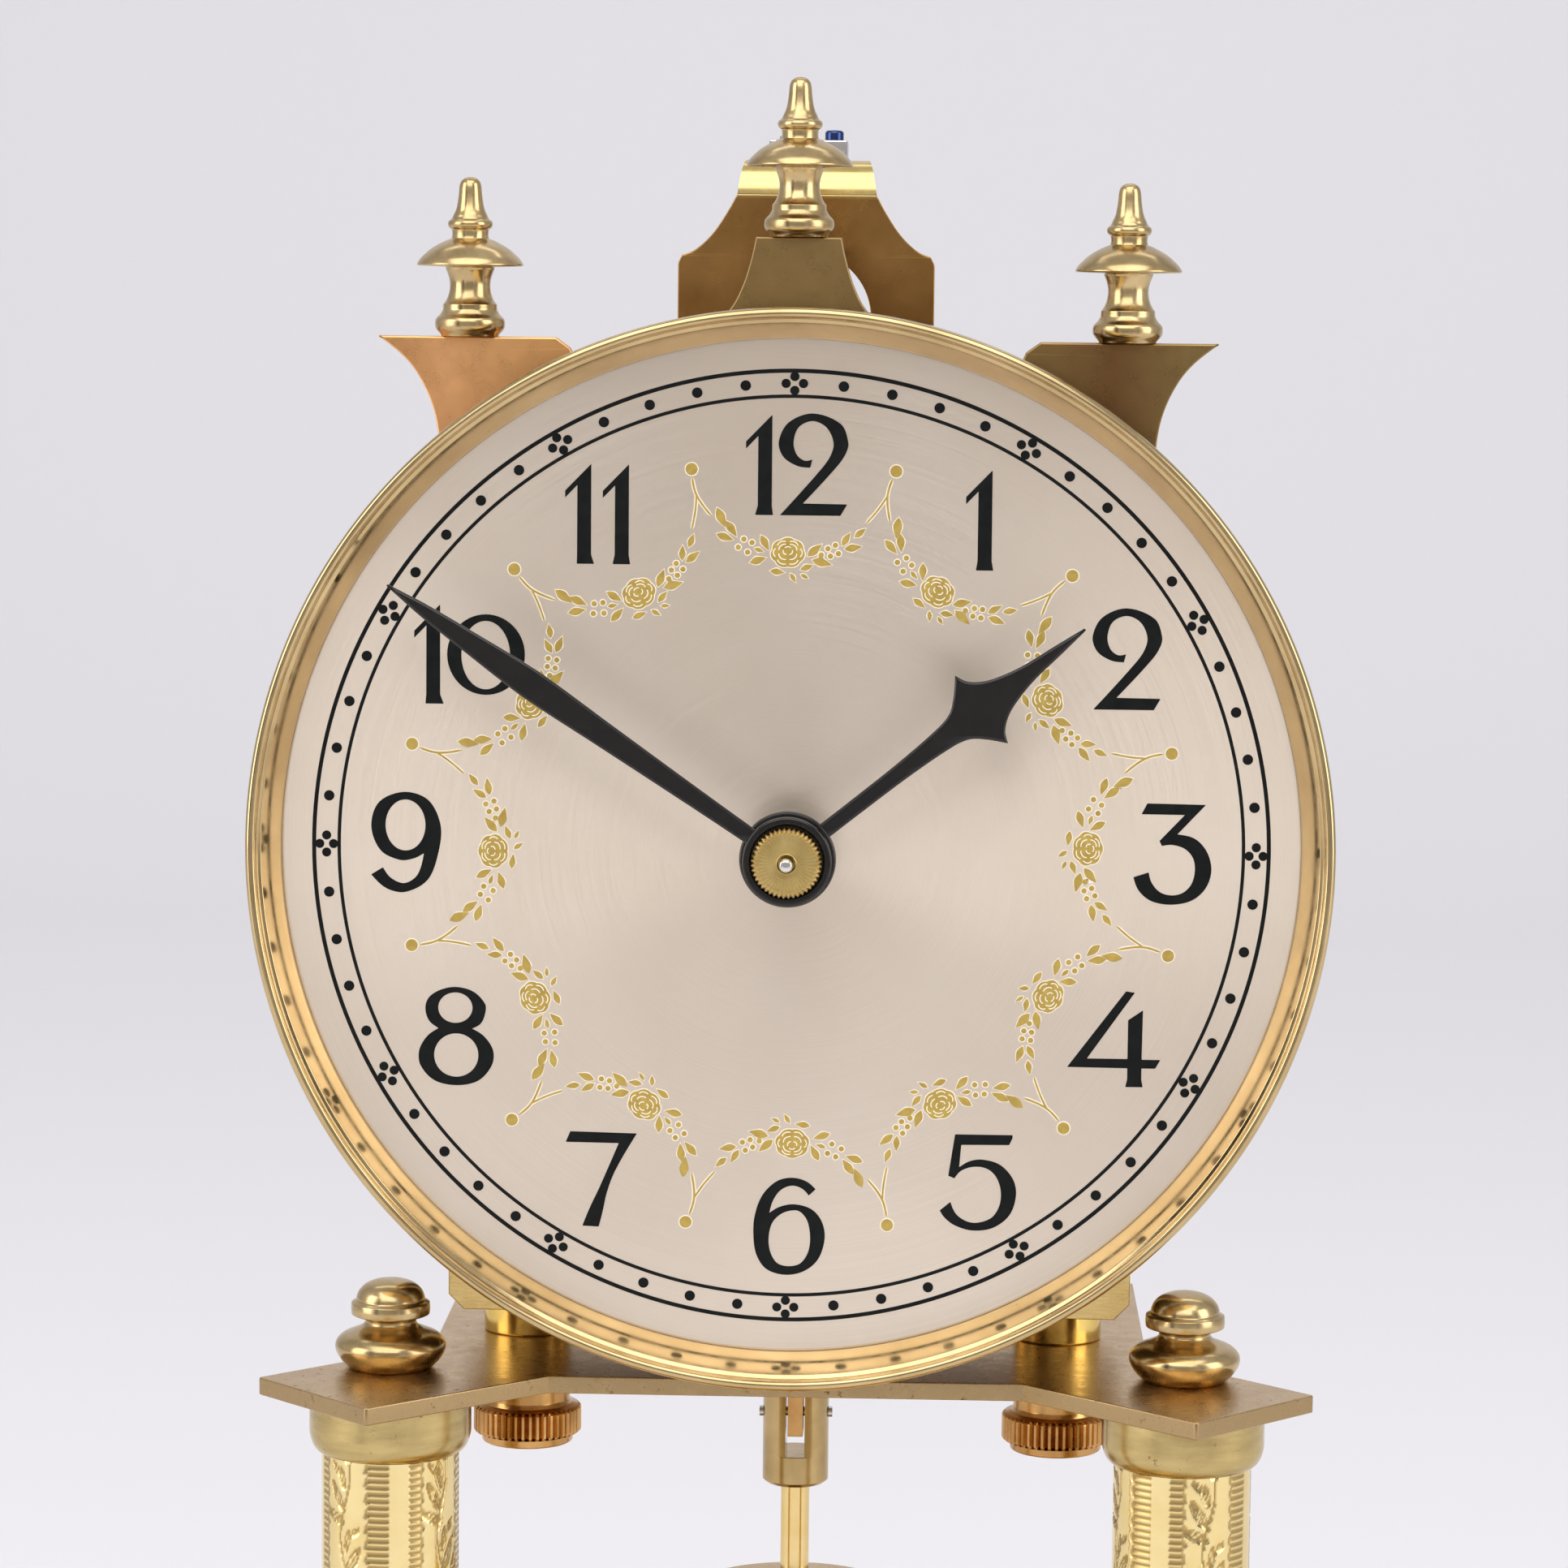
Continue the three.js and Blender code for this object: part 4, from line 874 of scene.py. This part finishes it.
half = [(13, 22, "c"), (13, 55.6, "c"), (12.6, 56.4, "c"), (11.2, 57.0), (9.5, 58.6), (7.9, 61.0), (7.05, 62.6, "c")]
loop = path(half + [(-p[0], *p[1:]) for p in half[::-1]], r=0.25, per=6)
parts = [plate_mesh([loop, circle(0, 50.2, 6.6, 72)], -7, -5.5, bevel=0.12, res=2)]
verts, faces = [], []
N = 14
for i in range(N + 1):
    a = math.radians(90 * i / N)
    w = 7.05 + (6.2 - 7.05) * i / N
    for r in (3.5, 2.0):
        yy, zz = -3.5 - r * math.cos(a), DZ + 62.6 + r * math.sin(a)
        verts += [(-w, yy, zz), (w, yy, zz)]
for i in range(N):
    o, p = 4 * i, 4 * i + 4
    faces += [(o, o + 1, p + 1, p), (o + 2, p + 2, p + 3, o + 3), (o, p, p + 2, o + 2), (o + 1, o + 3, p + 3, p + 1)]
parts.append(mesh(verts, faces))
sv, sf = box_data(-6.2, 6.2, -3.5, 6, DZ + 64.6, DZ + 66.1)
parts.append(bevel_mesh(mesh(sv, sf), 0.1))
# painted highlight: the bend and top shelf of the bracket get the brighter tone, as if lit from the top; the upright
# plate keeps the darker base tones
BRKT = metal("brass_bracket", (0.30, 0.155, 0.045), (0.46, 0.25, 0.08), 0.16, 0.30, scale=130, spots=(0.15, 0.08, 0.03), spot_at=0.66, top_highlight=(0.2502, (0.66, 0.50, 0.20)))
put(join_meshes(parts), "suspension_bracket_bent", BRKT, nodes=("suspension_bracket",), slot="dark_brass")

sad = bevel_mesh(mesh(*box_data(-4, 4, -3.4, 3.4, DZ + 66.15, DZ + 68.2)), 0.25)
sp = mesh(*lathe_data([(0, DZ + 64.1), (1.8, DZ + 64.1), (1.95, DZ + 64.3), (1.95, DZ + 66.4), (0, DZ + 66.4)], 40))
put(join_meshes([sad, sp]), "saddle_block", NICKEL, body="saddle", nodes=("suspension_saddle",), slot="bright_steel")
z = DZ + 68.2
lathe("saddle_screw_blued", path(hard([(0, z - 0.2), (0.95, z - 0.2), (0.95, z + 0.75), (0.8, z + 0.95), (0, z + 1.05)]), r=0.05, closed=False), BLUED, n=40, cx=2.6, cy=-1.6, body="saddle", slot="steel")
lathe("saddle_clamp_screw", path(hard([(0, z - 0.2), (0.7, z - 0.2), (0.7, z + 0.35), (0.55, z + 0.5), (0, z + 0.55)]), r=0.05, closed=False), STEEL, n=32, cx=-2.4, cy=1.4, body="saddle", slot="steel")

# ------------------------------------------------------------------ pendulum


def prong(sign):
    pts = []
    a0 = math.asin(1.0 / 3.45)
    for i in range(25):
        a = a0 + (math.pi - 2 * a0) * i / 24 - math.pi / 2
        pts.append((sign * 3.45 * math.cos(a), 3.45 * math.sin(a)))
    return pts


head = [mesh(*lathe_data(path(hard([(0, 115.9), (2.95, 115.9), (3.45, 116.3), (3.45, 119.2), (0, 119.2)]), r=0.08, closed=False), 72))]
for s in (-1, 1):
    pts = [(s * math.sqrt(max(0.0, 3.45**2 - (3.3 * k / 12)**2)), 3.3 * k / 12) for k in range(-12, 13)]
    pts = [(s * 1.0, -3.3)] + pts[:] + [(s * 1.0, 3.3)]
    head.append(plate_mesh([pts], 119.0, 129.1, plane="z", bevel=0.14, res=2))
HEADM = metal("brass_head", (0.38, 0.26, 0.11), (0.52, 0.37, 0.17), 0.14, 0.28, stretch=(1, 1, 0.2))
put(join_meshes(head), "pendulum_head_slotted", HEADM, body="pendulum", nodes=("pendulum_head",), slot="brass")
pin = []
for s in (-1, 1):
    v, f = lathe_data([(0, 0), (0.42, 0), (0.55, 0.1), (0.55, 0.5), (0, 0.55)], 24)
    pin.append(([(s * (3.32 + zz - 0.0), x, 123.4 + y) for x, y, zz in v], f))
put(mesh(*merge(*pin)), "pendulum_cross_pin_ends", STEEL, body="pendulum", slot="steel")
lathe("pendulum_canopy_turned", path([(1.7, 102.7, "c"), (10.5, 102.7, "c"), (11.0, 102.95), (11.2, 103.5), (11.05, 104.1), (10.5, 104.35, "c"), (6, 104.55, "c"), (1.7, 104.6, "c"), (1.7, 102.7, "c")], r=0.06, closed=False),
      DARK, n=120, body="pendulum", nodes=("pendulum_canopy",), slot="dark_brass")
col = path([(0, 36.5, "c"), (0.9, 36.5, "c"), (1.4, 37.6), (1.5, 38.4), (1.5, 43.9, "c"), (1.1, 44, "c"), (1.1, 47.2, "c"), (2.1, 47.35, "c"), (2.2, 47.6, "c"), (2.2, 59.6, "c"), (2.7, 60.3), (3.1, 62), (2.7, 63.7), (2.2, 64.4, "c"),
            (2.2, 93.6, "c"), (2.7, 94.6), (3.4, 96.2, "c"), (3.4, 102.3, "c"), (3.2, 102.5, "c"), (1.5, 102.55, "c"), (1.5, 115.85, "c"), (0, 115.9, "c")], r=0.06, per=5, closed=False)
parts = [mesh(*lathe_data(col, 64))]
for k in range(4):
    a = math.radians(45 + 90 * k)
    cu = bpy.data.curves.new("arm", "CURVE")
    cu.dimensions = "3D"
    cu.bevel_depth = 1.1 * S
    cu.bevel_resolution = 6
    cu.use_fill_caps = True
    P = path([(1, 99), (8, 98.5), (18, 94.5), (25, 86), (27, 74.5)], per=12, closed=False)
    sp = cu.splines.new("POLY")
    sp.points.add(len(P) - 1)
    for pt, (r, h) in zip(sp.points, P):
        pt.co = (r * math.cos(a) * S, r * math.sin(a) * S, h * S, 1)
    ob = bpy.data.objects.new("arm", cu)
    sc.collection.objects.link(ob)
    bpy.context.view_layer.update()
    parts.append(bpy.data.meshes.new_from_object(ob.evaluated_get(bpy.context.evaluated_depsgraph_get())))
    bpy.data.objects.remove(ob)
    cx, cy = 27 * math.cos(a), 27 * math.sin(a)
    ball = [(0, 51.5)] + [(10.5 * math.sin(math.radians(t)), 62 - 10.5 * math.cos(math.radians(t))) for t in range(5, 171, 5)]
    ball += [(2.3, 72.35), (2.3, 73.2), (2.05, 73.5), (1.6, 73.6), (1.6, 74.0), (1.45, 74.1), (0, 74.1)]
    lathe("pendulum_ball_turned_%d" % (k + 1), ball, POL, n=80, cx=cx, cy=cy, body="pendulum", nodes=("pendulum_ball_%d" % (k + 1),), slot="brass", sharp=50)
put(join_meshes(parts), "pendulum_frame_turned", POL, body="pendulum", nodes=("pendulum_frame",), slot="brass")
rd = path(hard([(1.4, 44.2), (12.6, 44.2), (13.0, 44.5), (13.0, 45.2), (13.0, 46.0), (13.0, 46.7), (12.6, 47.0), (11.2, 47.0), (11.0, 46.8), (4.2, 46.8), (4.0, 47.0), (1.4, 47.0), (1.4, 44.2)]), r=0.05, closed=False)
knurled(rd, 12.7, "regulating_disc_knurled", POL, 110, 0.22, 44.3, 46.9, body="pendulum", nodes=("regulating_disc",), slot="brass")

# ------------------------------------------------------------------ base

BASE = [(0, 30, "c"), (63.5, 30, "c"), (66.0, 29.95, "c"), (68.8, 29.4), (70.5, 28.2, "c"), (71.1, 26.4), (72.0, 23.4), (73.9, 19.7), (77.4, 16.2), (82.0, 13.8, "c"), (82, 11.5, "c"), (87.3, 11.5, "c"), (87.3, 13.8, "c"), (89.2, 13.75), (91.0, 12.6),
        (92.0, 10.4), (92.0, 7.2, "c"), (91.6, 6.2, "c"), (90.9, 6.0, "c"), (89.8, 6.0, "c"), (89.8, 10.3, "c"), (80.6, 10.3, "c"), (72.6, 18.6, "c"), (69.5, 26.8, "c"), (65.8, 28.8, "c"), (0, 28.8, "c")]
parts = [lathe_data(path(BASE, r=0.14, per=5, closed=False), 288)]
for a in (-90, 30, 150):
    cx, cy = 83.5 * math.cos(math.radians(a)), 83.5 * math.sin(math.radians(a))
    parts.append(lathe_data([(2.15, 10.3), (2.15, 7.1), (2.25, 7.0), (3.85, 7.0), (4.0, 7.15), (4.0, 10.6)], 48, cx=cx, cy=cy))
BASEM = metal("brass_base", (0.60, 0.41, 0.16), (0.72, 0.52, 0.22), 0.14, 0.26, scale=60, spots=(0.30, 0.18, 0.07), spot_at=0.70, spot_scale=700)
put(mesh(*merge(*parts)), "base_turned", BASEM, nodes=("base_shell",), slot="dark_brass", sharp=50)
for nm, a in (("front", -90), ("right", 30), ("left", 150)):
    cx, cy = 83.5 * math.cos(math.radians(a)), 83.5 * math.sin(math.radians(a))
    ls = path(hard([(0, 0), (4.7, 0), (5.2, 0.15), (6.7, 0.6), (7.0, 0.9), (7.0, 1.9), (7.0, 3.0), (7.0, 3.3), (6.7, 3.7), (2.2, 4.0), (1.8, 4.1), (1.8, 9.9), (1.7, 10), (0, 10)]), r=0.05, closed=False)
    knurled(ls, 6.75, "levelling_screw_knurled_" + nm, CAPM, 60, 0.24, 0.7, 3.5, cx=cx, cy=cy, body="levelling_" + nm, nodes=("levelling_screw_" + nm,), slot="brass")
cup = path([(0, 30.02, "c"), (8.9, 30.02, "c"), (9, 30.2, "c"), (9, 30.9, "c"), (8.7, 31.25), (7.4, 31.5), (6.5, 32.3), (5.9, 34.5), (5.6, 37.6, "c"), (5.75, 38.1), (5.6, 38.7), (5.2, 39, "c"), (4.5, 39, "c"), (4.3, 38.8, "c"), (4.2, 33, "c"), (3.6, 32.5), (0, 32.4)], r=0.05, closed=False)
lathe("guide_cup_turned", cup, CAPM, n=96, nodes=("guide_cup",), slot="brass", sharp=50)


def slotted_screw(name, cx, cz, y, r, out=-1, mat=None, h=0.9):
    """Cheese-head screw on a plate: a turned head in two halves beside its slot."""
    parts = []
    w = r * 0.13
    for s in (-1, 1):
        pts = []
        a0 = math.asin(w / r)
        for i in range(17):
            a = a0 + (math.pi - 2 * a0) * i / 16
            pts.append((cx + r * math.cos(a) * 1.0, cz + s * r * math.sin(a)))
        lo, hi = (y - h, y) if out < 0 else (y, y + h)
        parts.append(plate_mesh([pts], lo, hi, bevel=0.1, res=1))
    lo, hi = (y - h * 0.5, y) if out < 0 else (y, y + h * 0.5)
    parts.append(plate_mesh([circle(cx, cz, r * 0.96, 32)], lo, hi, bevel=0.02, res=0))
    put(join_meshes(parts), name, mat or BLUED, slot="steel")


for i, (x, z) in enumerate(((-26.8, -42.8), (26.8, -42.8), (-27, 32), (27, 32))):
    slotted_screw("back_plate_screw_%d" % (i + 1), x, z, -7.0, 2.4, out=1, mat=STEEL)
for i, x in enumerate((-9.5, 9.5)):
    slotted_screw("bracket_screw_%d" % (i + 1), x, 29.0, -5.5, 2.0, out=1, mat=STEEL)

# ------------------------------------------------------------------ floor, light, camera


def stage_mat(name, color, rough=0.9):
    m, nt, b = material(name, metallic=0.0, rough=rough, color=color)
    return m


def stage_plane(name, verts, faces, mat, smooth=False):
    me = bpy.data.meshes.new(name)
    me.from_pydata(verts, [], faces)
    me.materials.append(mat)
    if smooth:
        me.shade_smooth()
    ob = bpy.data.objects.new(name, me)
    sc.collection.objects.link(ob)
    return ob


pts = [(-3.5, 0.0), (1.3, 0.0)] + [(1.3 + 0.9 * math.sin(math.radians(t)), 0.9 - 0.9 * math.cos(math.radians(t))) for t in range(5, 91, 5)] + [(2.2, 4.2)]
verts = [(x, y, z) for y, z in pts for x in (-4.5, 4.5)]
faces = [(2 * i, 2 * i + 1, 2 * i + 3, 2 * i + 2) for i in range(len(pts) - 1)]
stage_plane("studio_floor", verts, faces, stage_mat("studio_paper", (0.80, 0.79, 0.81)), smooth=True)


def area(name, loc, target, sx, sy, power, color=(1, 1, 1)):
    l = bpy.data.lights.new(name, "AREA")
    l.shape = "RECTANGLE"
    l.size, l.size_y = sx, sy
    l.energy = power
    l.color = color
    ob = bpy.data.objects.new(name, l)
    sc.collection.objects.link(ob)
    ob.location = loc
    ob.rotation_mode = "QUATERNION"
    ob.rotation_quaternion = (Vector(target) - Vector(loc)).to_track_quat("-Z", "Y")
    return ob


T = (0, 0, 0.16)
area("soft_left", (-1.15, -0.55, 0.55), T, 0.7, 1.1, 6.8, (1, 0.99, 0.97))
area("soft_right", (1.15, -0.55, 0.55), T, 0.7, 1.1, 6.8, (1, 0.99, 0.97))
area("soft_top", (0, -0.50, 1.25), T, 1.3, 0.7, 6)
area("back_wash", (0, 1.25, 2.5), (0, 2.2, 0.9), 2.6, 0.5, 11)
area("soft_front", (-0.1, -0.86, 0.80), T, 1.0, 0.45, 3.0)

w = bpy.data.worlds.new("studio")
sc.world = w
w.use_nodes = True
bg = w.node_tree.nodes["Background"]
bg.inputs[0].default_value = (0.95, 0.945, 0.975, 1)
bg.inputs[1].default_value = 0.62

for i, x in enumerate((-0.46, 0.46)):
    stage_plane("studio_flag_%d" % i, [(x - 0.06, -0.60, 0.0), (x + 0.06, -0.66, 0.0), (x + 0.06, -0.66, 0.6), (x - 0.06, -0.60, 0.6)], [(0, 1, 2, 3)], stage_mat("studio_flag_%d" % i, (0.03, 0.03, 0.03)))

# grey card round the camera, so that polished faces have something dark to show
verts = [(-0.34, -0.9, 0.03), (0.34, -0.9, 0.03), (0.34, -0.9, 0.42), (-0.34, -0.9, 0.42)]
stage_plane("studio_card", verts, [(0, 1, 2, 3)], stage_mat("studio_card", (0.46, 0.44, 0.42)))

for ob in sc.objects:           # lamps and cards are only there to light the metal
    if ob.type == "LIGHT" or ob.name.startswith(("studio_flag", "studio_card")):
        ob.visible_camera = False

sc.view_settings.view_transform = "Standard"
sc.view_settings.look = "None"
sc.view_settings.exposure = 0.0

cam_data = bpy.data.cameras.new("camera")
cam = bpy.data.objects.new("camera", cam_data)
sc.collection.objects.link(cam)
cam_data.sensor_width = 36.0
cam_data.lens = 111.8
cam_data.clip_start, cam_data.clip_end = 0.01, 20
pitch, yaw, roll = 0.1040, -0.0309, 0.0102
fwd = Vector((math.sin(yaw) * math.cos(pitch), math.cos(yaw) * math.cos(pitch), -math.sin(pitch)))
right = Vector((math.cos(yaw), -math.sin(yaw), 0))
up = right.cross(fwd)
r2 = math.cos(roll) * right + math.sin(roll) * up
u2 = -math.sin(roll) * right + math.cos(roll) * up
loc = Vector((13.6, -502.6, 242.2)) * S
cam.matrix_world = Matrix(((r2.x, u2.x, -fwd.x, loc.x), (r2.y, u2.y, -fwd.y, loc.y), (r2.z, u2.z, -fwd.z, loc.z), (0, 0, 0, 1)))
sc.camera = cam
